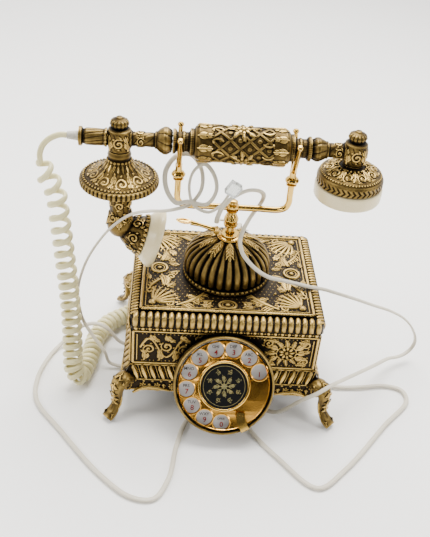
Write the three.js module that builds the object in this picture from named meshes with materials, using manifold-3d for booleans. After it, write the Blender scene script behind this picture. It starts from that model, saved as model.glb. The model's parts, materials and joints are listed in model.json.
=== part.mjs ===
// Antique desk telephone: rotary dial, sprung post cradle and a horn handset.
// Millimetres, +Z up, +X along the handset towards the earpiece, dial towards -Y.
import * as THREE from 'three';
import { mergeVertices } from 'three/addons/utils/BufferGeometryUtils.js';
import Module from 'manifold-3d';

const wasm = await Module();
wasm.setup();

// Driving dimensions
const clearance = 0.3;          // air between pieces that touch
const wall = 3;                 // cast brass casing
const lidHalfX = 79;
const lidHalfY = 65;
const lidTop = 101.5;
const lidRim = 12.9;            // height of the lid's ribbed rim and raised panel
const panelStep = 2.5;          // raised panel over the rim
const panelInset = 7.5;
const bodyInset = 1.5;          // casing wall inside the lid's edge
const skirtTop = 48.4;
const skirtMiddle = 38;
const skirtBottom = 24;
const skirtFlareMiddle = 4.5;
const skirtFlareBottom = 7;
const plateThickness = 2;
const footReach = 24;           // from the skirt's corner out to the foot
const legThickness = 14;
const ringRadius = 37.1;        // beaded ring under the dome
const ringHeight = 4;
const domeHeight = 31;
const domeWall = 2.5;
const collarRadius = 10;
const collarHeight = 4.5;
const postRadius = 3.2;
const yokeHeight = 166;         // axis of the cradle's cross bar
const yokeRadius = 2.6;
const armX = 45.4;
const handsetZ = 222.5;         // axis of the handset
const knobDrop = 28.5;          // handset's axis down to the knobs on the arms
const forkSpread = 15;          // half the fork's width at its tips
const forkHeight = 34;
const prongRadius = 2.1;
const cradleTravel = 4;
const gripRadius = 14.6;
const gripLeft = -35;
const gripRight = 40;
const hubLeftX = -92;
const hubRightX = 91.4;
const hubRadius = 9.3;
const bellRadius = 32;
const bellDrop = 38.5;          // handset's axis down to the bell's rim
const hornDrop = 88.3;          // and to the middle of the horn's mouth
const shellDrop = 27.8;         // and to the ear shell's edge
const shellRadius = 26.4;
const dialY = -88;
const dialZ = 49.8;
const dialTilt = 28;            // degrees back from upright
const bezelRadius = 41.5;
const bezelDepth = 7;
const wheelRadius = 38.1;
const wheelThickness = 1.4;
const holeCircle = 30.8;
const holeRadius = 6.65;
const firstHole = 24;           // degrees, the hole for 1
const holePitch = 27.2;
const stopAngle = -62;
const shaftRadius = 2.9;
const gearRadius = 17;
const pinionRadius = 4.2;
const gongRadius = 20;
const gongGap = 9;              // between the gongs, where the clapper swings
const flatCord = 2;             // half the width of the line cord
const curlWire = 2.1;            // wire radius of the curly cord
const curlRadius = 9;           // outside radius of its coil

// Sizes worked out from them
const lidBottom = lidTop - lidRim;
const panelHalfX = lidHalfX - panelInset;
const panelHalfY = lidHalfY - panelInset;
const bodyHalfX = lidHalfX - bodyInset;
const bodyHalfY = lidHalfY - bodyInset;
const bodyTop = lidBottom - clearance;
const plateZ = skirtBottom + 0.6;
const floorZ = plateZ + plateThickness + clearance;
const domeBase = lidTop + clearance + ringHeight + clearance;
const domeTop = domeBase + domeHeight;
const collarTop = domeTop + collarHeight;
const postHole = postRadius + 0.5;
const knobZ = handsetZ - knobDrop;

// Finishes
const finish = (color, roughness, metalness) => new THREE.MeshStandardMaterial({ color, roughness,
  metalness });
const antique = finish(0x80683a, 0.42, 1);
const polished = finish(0xd2a94e, 0.2, 1);
const cream = finish(0xe6dcbc, 0.35, 0);
const steel = finish(0x9a9da0, 0.35, 1);
const black = finish(0x17171a, 0.4, 0);
const whiteCord = finish(0xe4e0d6, 0.5, 0);
const creamCord = finish(0xe4dcae, 0.5, 0);
const plateGrey = finish(0xcfcfce, 0.45, 0);
const copper = finish(0xa5562b, 0.4, 1);
const clearPlastic = finish(0xd8dbd8, 0.2, 0);

const phone = new THREE.Group();

// Geometry helpers
function closed(geometry) {
  const plain = geometry.index ? geometry.toNonIndexed() : geometry.clone();
  plain.deleteAttribute('normal');
  plain.deleteAttribute('uv');
  const merged = mergeVertices(plain, 1e-4);
  const corners = merged.index.array;
  const kept = [];
  for (let i = 0; i < corners.length; i += 3) {
    const [a, b, c] = [corners[i], corners[i + 1], corners[i + 2]];
    if (a !== b && b !== c && c !== a) kept.push(a, b, c);
  }
  merged.setIndex(kept);
  return merged;
}

function solid(geometry) {
  const shape = closed(geometry);
  const vertProperties = new Float32Array(shape.getAttribute('position').array);
  const triVerts = new Uint32Array(shape.index.array);
  return new wasm.Manifold(new wasm.Mesh({ numProp: 3, vertProperties, triVerts }));
}

function shapeOf(manifold) {
  const mesh = manifold.getMesh();
  const geometry = new THREE.BufferGeometry();
  geometry.setAttribute('position', new THREE.BufferAttribute(new Float32Array(mesh.vertProperties), 3));
  geometry.setIndex(new THREE.BufferAttribute(new Uint32Array(mesh.triVerts), 1));
  return geometry;
}

function join(first, ...others) {
  return shapeOf(others.reduce((whole, next) => whole.add(solid(next)), solid(first)));
}

function cut(first, ...tools) {
  return shapeOf(tools.reduce((whole, tool) => whole.subtract(solid(tool)), solid(first)));
}

function add(name, geometry, material, parent = phone) {
  const mesh = new THREE.Mesh(closed(geometry), material);
  mesh.name = name;
  parent.add(mesh);
  return mesh;
}

// A turned shape about Z from [radius, height] points
function turned(points, segments = 16) {
  return new THREE.LatheGeometry(points.map(([r, z]) => new THREE.Vector2(r, z)),
    segments).rotateX(Math.PI / 2);
}

// A turned tube or ring: its outline closes on itself
function ring(points, segments = 16) {
  return turned([...points, points[0]], segments);
}

// A turned shape about X from [radius, x] points
function turnedAlong(points, segments = 12) {
  return turned(points, segments).rotateY(Math.PI / 2);
}

function cylinder(radius, bottom, top, segments = 16) {
  return turned([[0, bottom], [radius, bottom], [radius, top], [0, top]], segments);
}

function plate(halfX, halfY, bottom, top, corner) {
  const outline = new THREE.Shape();
  outline.moveTo(-halfX + corner, -halfY);
  outline.lineTo(halfX - corner, -halfY);
  outline.absarc(halfX - corner, -halfY + corner, corner, -Math.PI / 2, 0);
  outline.lineTo(halfX, halfY - corner);
  outline.absarc(halfX - corner, halfY - corner, corner, 0, Math.PI / 2);
  outline.lineTo(-halfX + corner, halfY);
  outline.absarc(-halfX + corner, halfY - corner, corner, Math.PI / 2, Math.PI);
  outline.lineTo(-halfX, -halfY + corner);
  outline.absarc(-halfX + corner, -halfY + corner, corner, Math.PI, Math.PI * 1.5);
  const options = { depth: top - bottom, bevelEnabled: false, curveSegments: 2 };
  return new THREE.ExtrudeGeometry(outline, options).translate(0, 0, bottom);
}

function block(width, depth, height, x, y, bottom) {
  return new THREE.BoxGeometry(width, depth, height).translate(x, y, bottom + height / 2);
}

// A four-sided casing course from [half width, height] points, as deep as the body is
function course(points) {
  const outline = points.map(([half, z]) => [half * Math.SQRT2, z]);
  return turned(outline, 4).rotateZ(Math.PI / 4).scale(1, bodyHalfY / bodyHalfX, 1);
}

function tube(points, radius, steps, sides = 8) {
  const path = new THREE.CatmullRomCurve3(points.map((p) => new THREE.Vector3(...p)), false, 'centripetal');
  const section = new THREE.Shape().absarc(0, 0, radius, 0, Math.PI * 2);
  const options = { steps, extrudePath: path, curveSegments: sides / 2, bevelEnabled: false };
  return new THREE.ExtrudeGeometry(section, options);
}

function rod(from, to, radius, segments = 12) {
  const start = new THREE.Vector3(...from);
  const along = new THREE.Vector3(...to).sub(start);
  const length = along.length();
  const turn = new THREE.Quaternion().setFromUnitVectors(new THREE.Vector3(0, 0, 1), along.normalize());
  const capped = [[0, 0], [radius, 0], [radius, length - radius * 0.6], [radius * 0.6, length], [0, length]];
  return turned(capped, segments).applyQuaternion(turn).translate(...from);
}

// The dial leans back: its own +Z points out of its face
const tiltRadians = THREE.MathUtils.degToRad(90 - dialTilt);
const dial = new THREE.Group();
dial.position.set(0, dialY, dialZ);
dial.rotation.x = tiltRadians;
phone.add(dial);
const placeDial = new THREE.Matrix4().makeRotationX(tiltRadians).setPosition(0, dialY, dialZ);

const housingNeck = -bezelDepth - 6;
const housingBack = -40;
const housingBackRadius = 26;
const housingNeckRadius = bezelRadius - 5;
const fitRoom = 0.8;             // round the dial's housing where it enters the casing
const housingOutline = [
  [bezelRadius - 0.5, -bezelDepth - clearance],
  [bezelRadius - 0.5, -bezelDepth - 3],
  [housingNeckRadius, housingNeck],
  [housingBackRadius, housingBack],
];
const housingRoom = turned([
  [0, housingBack - 1],
  [housingBackRadius + fitRoom, housingBack - 1],
  [housingNeckRadius + fitRoom, housingNeck - fitRoom],
  [bezelRadius + fitRoom, -bezelDepth - 3 - fitRoom],
  [bezelRadius + fitRoom, 1],
  [0, 1],
]).applyMatrix4(placeDial);

// Lid with its ribbed rim and raised panel
const lidShell = join(
  plate(lidHalfX, lidHalfY, lidBottom, lidTop - panelStep, 5),
  plate(panelHalfX, panelHalfY, lidTop - panelStep - 1, lidTop, 4),
);
const lidHollow = plate(lidHalfX - wall, lidHalfY - wall, lidBottom - 1, lidTop - panelStep - wall, 3);
add('lid', cut(lidShell, lidHollow, cylinder(postHole + 1, lidBottom, lidTop + 1)), antique);

// Casing wall under the lid
const bodyShell = plate(bodyHalfX, bodyHalfY, skirtTop + clearance, bodyTop, 3);
const bodyHollow = plate(bodyHalfX - wall, bodyHalfY - wall, skirtTop - 1, bodyTop + 1, 2);
add('body_shell', cut(bodyShell, bodyHollow, housingRoom), antique);

// Flared skirt below it
const skirtOuter = [
  [bodyHalfX, skirtTop],
  [bodyHalfX + skirtFlareMiddle, skirtMiddle],
  [bodyHalfX + skirtFlareBottom, skirtBottom],
];
const skirtShell = course([
  ...[...skirtOuter].reverse(),
  [bodyHalfX - wall, skirtTop],
  [bodyHalfX + skirtFlareMiddle - wall, skirtMiddle],
  [bodyHalfX + skirtFlareBottom - wall, skirtBottom],
  skirtOuter[2],
]);
const glandZ = 34;
const glandHoleRadius = 3.4;
const glandX = { curly: -46, line: 22 };
const glandHoles = Object.values(glandX).map((x) => (
  cylinder(glandHoleRadius, 0, 40).rotateX(-Math.PI / 2).translate(x, bodyHalfY - 10, glandZ)
));
add('skirt', cut(skirtShell, housingRoom, ...glandHoles), antique);

// Bottom plate
const plateHalfX = bodyHalfX + 1;
const plateHalfY = bodyHalfY + 1;
add('bottom_plate', cut(plate(plateHalfX, plateHalfY, plateZ, plateZ + plateThickness, 4), housingRoom),
  antique);

// Splayed scroll legs
const legOutline = new THREE.Shape();
legOutline.moveTo(-2, skirtMiddle + 3);
legOutline.bezierCurveTo(5, skirtMiddle + 4, 14, skirtMiddle + 3, 14.5, skirtMiddle - 6);
legOutline.bezierCurveTo(14.5, 22, 14, 12, footReach - 2, 9.5);
legOutline.bezierCurveTo(footReach + 2, 9, footReach + 5, 7, footReach + 4, 4);
legOutline.lineTo(footReach + 3, 0);
legOutline.lineTo(footReach - 5, 0);
legOutline.bezierCurveTo(footReach - 10, 4, 6, 6, 0, 17);
legOutline.bezierCurveTo(-3, 21, -6, 23, -10, skirtBottom - 1);
legOutline.lineTo(-10, skirtMiddle);
const skirtRoom = course([
  [0, skirtBottom - 0.5],
  [bodyHalfX + skirtFlareBottom + 0.5, skirtBottom - 0.5],
  ...[...skirtOuter].reverse().map(([half, z]) => [half + 0.5, z]),
  [bodyHalfX + 0.5, skirtTop + 6],
  [0, skirtTop + 6],
]);
const cornerX = bodyHalfX + 2.5;
const cornerY = bodyHalfY + 3.5;
const corners = [[-1, -1], [1, -1], [1, 1], [-1, 1]];
const legNames = ['leg_front_left', 'leg_front_right', 'leg_rear_right', 'leg_rear_left'];
corners.forEach(([sx, sy], i) => {
  const turn = Math.atan2(sy, sx);
  const options = { depth: legThickness - 4, bevelThickness: 2, bevelSize: 1.2, bevelSegments: 1,
    curveSegments: 4 };
  const leg = new THREE.ExtrudeGeometry(legOutline, options)
    .translate(0, 0, -(legThickness - 4) / 2)
    .rotateX(Math.PI / 2)
    .rotateZ(turn)
    .translate(sx * cornerX, sy * cornerY, 0);
  add(legNames[i], cut(leg, skirtRoom, block(400, 400, 10, 0, 0, -10)), antique);
});

// Dome, its beaded ring and the collar that guides the post
add('dome_ring', ring([
  [ringRadius - 5, lidTop + clearance],
  [ringRadius - 1, lidTop + clearance],
  [ringRadius, lidTop + clearance + 2],
  [ringRadius - 1, domeBase - clearance],
  [ringRadius - 5, domeBase - clearance],
]), antique);
const domeOutline = [
  [34.6, 0], [35.8, 5], [35.4, 11], [32.6, 17.5], [27, 23], [19, 27.6], [11, 30.2],
];
const domeOut = domeOutline.map(([r, h]) => [r, domeBase + h * domeHeight / 31]);
const domeIn = [...domeOut].reverse().map(([r, z]) => [r - domeWall, Math.max(domeBase, z - domeWall * 0.8)]);
add('dome', ring([
  ...domeOut,
  [postHole + 2, domeTop - clearance],
  [postHole, domeTop - clearance],
  [postHole, domeTop - domeWall],
  ...domeIn,
], 20), antique);
const collar = ring([
  [postHole, domeTop],
  [collarRadius - 1, domeTop],
  [collarRadius, domeTop + 1.5],
  [collarRadius - 3, collarTop - 1],
  [postHole, collarTop],
]);
const leverHinge = block(5, 7, 5, -8.4, 0, domeTop + 1.4);
const leverSlot = block(6, 3.4, 3.4, -11.6, 0, domeTop + 4.2);
const postRoom = cylinder(postHole, domeTop - 1, collarTop + 9);
add('post_collar', cut(join(collar, leverHinge), leverSlot, postRoom), polished);

// Spoon lever hinged at the foot of the post
const leverPivotX = -11.2;
const leverPivotZ = domeTop + 5.9;
add('spoon_lever', join(
  tube([
    [leverPivotX + 1.4, 0, leverPivotZ], [-14, 0, leverPivotZ + 1], [-20, 0, leverPivotZ + 4.6],
    [-27, 0, leverPivotZ + 5.2], [-36, 0, leverPivotZ + 6.2],
  ], 1.3, 12),
  new THREE.SphereGeometry(4, 10, 6).scale(1.7, 1, 0.4).rotateY(0.15).translate(-39, 0, leverPivotZ + 6.8),
), polished);

// Cradle: post, cross bar with its arms, knobs and forks
const postBottom = 60;
add('cradle_post', turned([
  [0, postBottom], [postRadius, postBottom], [postRadius, collarTop + 1.5 + cradleTravel],
  [5.4, collarTop + 8],
  [3.6, collarTop + 11], [5.6, collarTop + 15], [3.4, collarTop + 19], [4.4, yokeHeight - yokeRadius - 2],
  [4.4, yokeHeight - yokeRadius - clearance], [0, yokeHeight - yokeRadius - clearance],
], 20), polished);
const armTop = knobZ - 5.2;
const yokeTube = tube([
  [-armX, 0, armTop], [-armX, 0, armTop - 9], [-armX + 1.6, 0, yokeHeight + 5.5],
  [-armX + 7, 0, yokeHeight + 0.8],
  [-armX + 15, 0, yokeHeight], [0, 0, yokeHeight], [armX - 15, 0, yokeHeight],
  [armX - 7, 0, yokeHeight + 0.8],
  [armX - 1.6, 0, yokeHeight + 5.5], [armX, 0, armTop - 9], [armX, 0, armTop],
], yokeRadius, 26);
const yokeBoss = cylinder(5.2, yokeHeight - yokeRadius + 0.6, yokeHeight + 7, 20);
add('cradle_yoke', join(yokeTube, yokeBoss), polished);
const forkApex = handsetZ - 25;
for (const [side, sign] of [['left', -1], ['right', 1]]) {
  const x = sign * armX;
  const knob = turned([
    [0, armTop + clearance], [3, armTop + clearance], [3.4, armTop + 1.5], [5, armTop + 2.6],
    [3.6, armTop + 3.8],
    [5.6, armTop + 5.2], [5, armTop + 7.4], [3, armTop + 8.4], [0, armTop + 8.4],
  ], 16).translate(x, 0, 0);
  const prong = (y) => rod([x, 0, forkApex + 2.6], [x, y, forkApex + forkHeight], prongRadius);
  const fork = join(prong(-forkSpread), prong(forkSpread),
    cylinder(2.6, forkApex - 2, forkApex + 5, 12).translate(x, 0, 0));
  add(`fork_${side}`, join(knob, fork), polished);
}

// Handset: everything turns about X at the height of its axis
const handset = new THREE.Group();
handset.position.z = handsetZ;
phone.add(handset);
const forkNeck = 7.6;           // the collar that lies in each fork
const stemRadius = 6;
const gripEdge = 10.6;
add('handset_grip', turnedAlong([
  [0, gripLeft], [11, gripLeft], [gripRadius - 1, gripLeft + 2], [gripRadius, gripLeft + 8],
  [gripRadius, gripRight - 8], [gripRadius - 1, gripRight - 2], [11, gripRight], [0, gripRight],
], 20), antique, handset);
function collarAndStem(side, edge, direction, bulbRadius, stemEnd) {
  const at = (distance) => edge + direction * distance;
  const order = (points) => (direction > 0 ? points : [...points].reverse());
  add(`handset_collar_${side}`, turnedAlong(order([
    [0, at(clearance)], [gripEdge, at(clearance)], [gripEdge, at(1.6)], [forkNeck, at(2.6)],
    [forkNeck, at(14)], [gripEdge - 1, at(14.8)], [gripEdge - 1, at(16)], [0, at(16)],
  ])), antique, handset);
  add(`handset_stem_${side}`, turnedAlong(order([
    [0, at(16.3)], [bulbRadius - 3, at(16.3)], [bulbRadius, at(20)], [bulbRadius, at(24)],
    [stemRadius, at(29)], [stemRadius, stemEnd], [0, stemEnd],
  ]), 20), antique, handset);
}
collarAndStem('left', gripLeft, -1, 10.5, hubLeftX + hubRadius + clearance);
collarAndStem('right', gripRight, 1, 9.3, hubRightX - hubRadius - clearance);

// Hubs with their acorn finials
function hub(name, x) {
  const barrel = turnedAlong([
    [0, x - hubRadius], [6.5, x - hubRadius], [8.6, x - 5], [hubRadius - 0.3, x], [8.6, x + 5],
    [6.5, x + hubRadius], [0, x + hubRadius],
  ], 14);
  const upright = turned([[0, -9.7], [8.2, -9.7], [9, -4], [8, 4], [5.6, 8.6],
    [0, 8.6]], 14).translate(x, 0, 0);
  const finial = turned([
    [0, 8], [5.2, 8.9], [5.8, 10.4], [3.4, 12], [4.2, 13.6], [3.8, 16], [1.6, 17.8], [0, 18.1],
  ], 10).translate(x, 0, 0);
  add(`${name}_hub`, join(barrel, upright, finial), antique, handset);
}
hub('mouth', hubLeftX);
hub('ear', hubRightX);

// Cord entry at the left end
const ferruleEnd = hubLeftX - 31;
add('cord_ferrule', turnedAlong([
  [0, ferruleEnd], [7.5, ferruleEnd], [7.5, ferruleEnd + 2.4], [6.2, ferruleEnd + 3.2],
  [6.75, ferruleEnd + 12],
  [6.2, hubLeftX - hubRadius - clearance], [0, hubLeftX - hubRadius - clearance],
], 20), antique, handset);
const bootEnd = ferruleEnd - 9;
add('cord_boot', turnedAlong([
  [0, bootEnd], [3.1, bootEnd], [3.9, ferruleEnd - clearance], [0, ferruleEnd - clearance],
], 16), plateGrey, handset);

// Mouthpiece: bell saucer, elbow, transmitter and horn cap
const bellZ = -bellDrop;
add('mouth_bell', turned([
  [0, bellZ + 4.4], [12, bellZ + 4.4], [28, bellZ + 1.6], [30, bellZ], [bellRadius, bellZ + 0.6],
  [bellRadius, bellZ + 3.6], [bellRadius - 1, bellZ + 5], [26, bellZ + 7], [19, bellZ + 10],
  [13.5, bellZ + 14.5],
  [10, bellZ + 19], [8.6, bellZ + 23], [9.3, bellZ + 25.6], [8.4, -10], [0, -10],
], 20).translate(hubLeftX, 0, 0), antique, handset);
const hornTilt = 16.5;
const hornX = -71.3;
const hornZ = -hornDrop;
const hornTurn = THREE.MathUtils.degToRad(90 + hornTilt);
const placeHorn = (geometry) => geometry.rotateY(hornTurn).translate(hornX, 0, hornZ);
const capsuleRadius = 12.6;
const neckRadius = 9.5;
const neck = turned([
  [0, -80], [neckRadius + 1.2, -78], [neckRadius, -62], [neckRadius - 0.5, bellZ - 4],
  [neckRadius + 0.9, bellZ],
  [neckRadius + 0.2, bellZ + 4], [0, bellZ + 4],
], 16).translate(hubLeftX + 0.8, 0, 0);
const elbowBall = new THREE.SphereGeometry(11.4, 14, 8).translate(hubLeftX + 1.5, 0, -77.5);
const bowl = placeHorn(turned([[0, -20], [6, -20], [10.5, -15], [13.6, -9], [16.2, -3], [17.2, 0],
  [0, 0]], 20));
const bowlHollow = placeHorn(cylinder(capsuleRadius + clearance, -6.4, 5));
add('mouth_elbow', cut(join(neck, elbowBall, bowl), bowlHollow), antique, handset);
add('transmitter_capsule', placeHorn(cylinder(capsuleRadius, -6, 1.2)), steel, handset);
add('mouthpiece_cap', placeHorn(turned([
  [0, 3.2], [capsuleRadius + 0.6, 3.2], [capsuleRadius + 0.6, clearance], [17.6, clearance], [20.6, 2.8],
  [24.6, 8.4], [24.6, 10.2], [22.4, 12.4], [20, 12], [12, 8], [0, 6.6],
], 20)), cream, handset);

// Earpiece: metal shell, receiver and cap
const shellZ = -shellDrop;
const earPlace = (geometry) => geometry.translate(hubRightX, 0, 0);
add('ear_shell', earPlace(turned([
  [0, shellZ + 11], [16, shellZ + 9.5], [shellRadius - 2, shellZ + 6], [shellRadius - 2, shellZ],
  [shellRadius, shellZ], [shellRadius, shellZ + 7], [shellRadius - 2, shellZ + 10], [18, shellZ + 13.4],
  [10, shellZ + 15.2], [8.2, -10], [0, -10],
], 20)), antique, handset);
add('receiver_capsule', earPlace(cylinder(shellRadius - 3.4, shellZ - 3.4, shellZ + 5.4, 28)),
  steel, handset);
add('ear_cap', earPlace(turned([
  [0, shellZ - 8.6], [12, shellZ - 9.6], [20, shellZ - 12.6], [24, shellZ - 13.2],
  [shellRadius + 0.6, shellZ - 11.4],
  [shellRadius + 0.9, shellZ - 2], [shellRadius + 0.2, shellZ - clearance],
  [shellRadius - 3, shellZ - clearance],
  [shellRadius - 3, shellZ - 3.8], [0, shellZ - 3.8],
], 20)), cream, handset);

// Dial: bezel, housing, number plate, finger wheel and the works behind
const seatRadius = wheelRadius + 0.5;
add('dial_bezel', ring([
  [seatRadius, -bezelDepth], [bezelRadius, -bezelDepth], [bezelRadius, -1], [bezelRadius - 0.8, 0],
  [seatRadius, 0],
], 24), antique, dial);
const liner = housingNeckRadius - 2.6;
add('dial_housing', ring([
  [liner, -bezelDepth - clearance],
  [liner, housingNeck],
  [housingBackRadius - 2.6, housingBack],
  ...[...housingOutline].reverse(),
], 24), antique, dial);

function disc(radius, bottom, top, holes, segments = 12) {
  const outline = new THREE.Shape().absarc(0, 0, radius, 0, Math.PI * 2);
  for (const [x, y, r] of holes) outline.holes.push(new THREE.Path().absarc(x, y, r, 0, Math.PI * 2));
  const options = { depth: top - bottom, bevelEnabled: false, curveSegments: segments };
  return new THREE.ExtrudeGeometry(outline, options).translate(0, 0, bottom);
}
const polar = (radius, degrees) => {
  const angle = THREE.MathUtils.degToRad(degrees);
  return [radius * Math.cos(angle), radius * Math.sin(angle)];
};
const shaftHole = [0, 0, shaftRadius + clearance];
add('number_plate', disc(wheelRadius, -bezelDepth + 0.2, -bezelDepth + 1.3, [shaftHole]), plateGrey, dial);
const fingerHoles = Array.from({ length: 10 }, (_, i) => [...polar(holeCircle, firstHole + i * holePitch),
  holeRadius]);
const wheelTop = -0.8;
add('finger_wheel', disc(wheelRadius, wheelTop - wheelThickness, wheelTop, [shaftHole, ...fingerHoles],
  10), polished, dial);
const cardRadius = 18.8;
add('card_ring', ring([
  [cardRadius + clearance, wheelTop + clearance], [cardRadius + 2.7, wheelTop + clearance],
  [cardRadius + 2.2, wheelTop + 1.8], [cardRadius + 0.8, wheelTop + 1.9],
], 20), polished, dial);
add('centre_card', disc(cardRadius, wheelTop + clearance, wheelTop + 1.2, []), black, dial);
const stopPlate = new THREE.Shape();
stopPlate.moveTo(26, 0);
stopPlate.quadraticCurveTo(33, 4.5, bezelRadius, 5);
stopPlate.lineTo(bezelRadius, -5);
stopPlate.quadraticCurveTo(33, -3, 26, 0);
add('finger_stop', new THREE.ExtrudeGeometry(stopPlate, { depth: 1.6, bevelEnabled: false, curveSegments: 6 })
  .translate(0, 0, clearance).rotateZ(THREE.MathUtils.degToRad(stopAngle)), polished, dial);
const gearDistance = gearRadius + pinionRadius + 0.5;
const pinionAt = polar(gearDistance, 70);
const framePlate = disc(liner - 4, -16, -14.4, [shaftHole, [...pinionAt, 1.8]]);
add('dial_frame_plate', framePlate, steel, dial);
function gear(radius, teeth, bottom, top, bore) {
  const outline = new THREE.Shape();
  for (let i = 0; i < teeth; i += 1) {
    const spots = [[0, radius - 1.6], [0.25, radius - 1.6], [0.4, radius], [0.75, radius],
      [0.9, radius - 1.6]];
    spots.forEach(([part, r], j) => {
      const [x, y] = polar(r, (i + part) * 360 / teeth);
      if (i + j === 0) outline.moveTo(x, y);
      else outline.lineTo(x, y);
    });
  }
  outline.holes.push(new THREE.Path().absarc(0, 0, bore, 0, Math.PI * 2));
  const options = { depth: top - bottom, bevelEnabled: false, curveSegments: 10 };
  return new THREE.ExtrudeGeometry(outline, options).translate(0, 0, bottom);
}
add('dial_gear_shaft', join(
  gear(gearRadius, 24, -21, -19, shaftRadius - 0.5),
  cylinder(shaftRadius, -34, wheelTop - 0.1, 16),
), steel, dial);
const governor = add('governor', turned([
  [0, -31], [1.5, -31], [1.5, -29], [5, -29], [5, -26.6], [1.5, -26.6], [1.5, -22], [pinionRadius, -22],
  [pinionRadius, -18], [1.5, -18], [1.5, -12], [0, -12],
], 16), polished, dial);
governor.position.set(...pinionAt, 0);

// Inside the casing: hook switch, ringer and line parts
const leverZ = postBottom - clearance;
const pivotX = 34;
add('hook_lever', cut(
  join(
    block(48, 6, 3, pivotX - 16, 0, leverZ - 3),
    cylinder(3.4, -3, 3, 16).rotateX(Math.PI / 2).translate(pivotX, 0, leverZ - 3),
  ),
  cylinder(1.8, -10, 10, 12).rotateX(Math.PI / 2).translate(pivotX, 0, leverZ - 3),
), steel);
const hookCheeks = cut(
  block(12, 16, leverZ - floorZ + 4, pivotX, 0, floorZ),
  block(14, 8, leverZ - floorZ + 2, pivotX, 0, floorZ + 4),
);
const hookPin = cylinder(1.5, -7, 7, 12).rotateX(Math.PI / 2).translate(pivotX, 0, leverZ - 3);
add('hook_bracket', join(hookCheeks, hookPin), steel);
add('contact_stack', join(
  block(10, 12, 24, pivotX + 24, 0, floorZ),
  block(16, 4, 1, pivotX + 19, 0, floorZ + 20),
  block(16, 4, 1, pivotX + 19, 0, floorZ + 16),
), black);
const gongZ = floorZ + 14;
const gongY = 34;
const clapperX = -20;
const clapperPivotY = -4;
for (const [side, sign] of [['left', -1], ['right', 1]]) {
  const x = clapperX + sign * (gongGap / 2 + gongRadius);
  const cup = ring([
    [8, gongZ + 6.8], [14, gongZ + 4], [gongRadius - 2.4, gongZ], [gongRadius - 1.4, gongZ - 3],
    [gongRadius, gongZ - 3], [gongRadius - 1, gongZ + 0.8], [15, gongZ + 5.6], [8, gongZ + 8.4],
    [1.8, gongZ + 8.6], [1.8, gongZ + 7],
  ], 12);
  const stand = turned([
    [0, floorZ], [4, floorZ], [3, gongZ + 6.8], [2, gongZ + 6.9], [2, gongZ + 11], [0, gongZ + 11],
  ], 8);
  add(`gong_${side}`, join(cup, stand).translate(x, gongY, 0), steel);
}
add('clapper', join(
  rod([clapperX, clapperPivotY + 2, gongZ], [clapperX, gongY, gongZ], 0.9, 8),
  new THREE.SphereGeometry(2.6, 12, 8).translate(clapperX, gongY, gongZ),
  cut(cylinder(3.4, gongZ - 3, gongZ + 3, 16), cylinder(1.6, gongZ - 4, gongZ + 4, 12))
    .translate(clapperX, clapperPivotY, 0),
), polished);
add('clapper_post', cylinder(1.3, floorZ, gongZ + 6, 12).translate(clapperX, clapperPivotY, 0), steel);
add('ringer_coil', ring([[1.5, -15], [8, -15], [8, -13], [7, -13], [7, 13], [8, 13], [8, 15], [1.5, 15]], 20)
  .rotateY(Math.PI / 2).translate(clapperX - 22, clapperPivotY - 14, floorZ + 9), copper);
add('line_transformer', block(30, 22, 24, 56, -36, floorZ), black);

// Cord glands in the skirt's rear wall
const glandFace = bodyHalfY + skirtFlareMiddle + 6;
for (const [name, x] of Object.entries(glandX)) {
  add(`gland_${name}`, turned([
    [0, -16], [5, -16], [5, -13], [glandHoleRadius - 0.4, -13], [glandHoleRadius - 0.4, -1], [4.6, -1],
    [3.4, 3], [0, 3],
  ], 14).rotateX(-Math.PI / 2).translate(x, glandFace - 3, glandZ), plateGrey);
}

// Curly cord: a plain lead, the coil's outer shape, and a plain tail
add('curly_cord_lead', tube([
  [bootEnd - clearance, 0, handsetZ], [-137, 0, handsetZ], [-145, -1.5, 219.5], [-150.5, -3.6, 214],
  [-152.4, -5.4, 208.5],
  [-152.6, -6, 205.4],
], curlWire, 8), creamCord);
add('curly_cord_coil', tube([
  [-152.4, -6.1, 203.6], [-151.6, -6.3, 198], [-147.5, -7, 190], [-141.5, -8, 176], [-138.3, -12, 152.8],
  [-135.5, -16, 126.4], [-131.8, -22, 90], [-129.6, -28, 62], [-128.5, -36, 36], [-127, -42, 19],
  [-123, -41, 10.5],
  [-119, -28, curlRadius], [-116, -8, curlRadius], [-113, 14, curlRadius], [-104, 34, curlRadius],
  [-88, 48, curlRadius], [-73, 60, curlRadius], [-66, 76, curlRadius],
], curlRadius, 30), creamCord);
add('curly_cord_tail', tube([
  [-65.6, 77.2, curlRadius], [-63, 86, 9], [-56, 93, 14], [-49, 92, 24], [glandX.curly, 86, glandZ - 2],
  [glandX.curly, 80, glandZ], [glandX.curly, glandFace + clearance, glandZ],
], curlWire, 10), creamCord);

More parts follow.
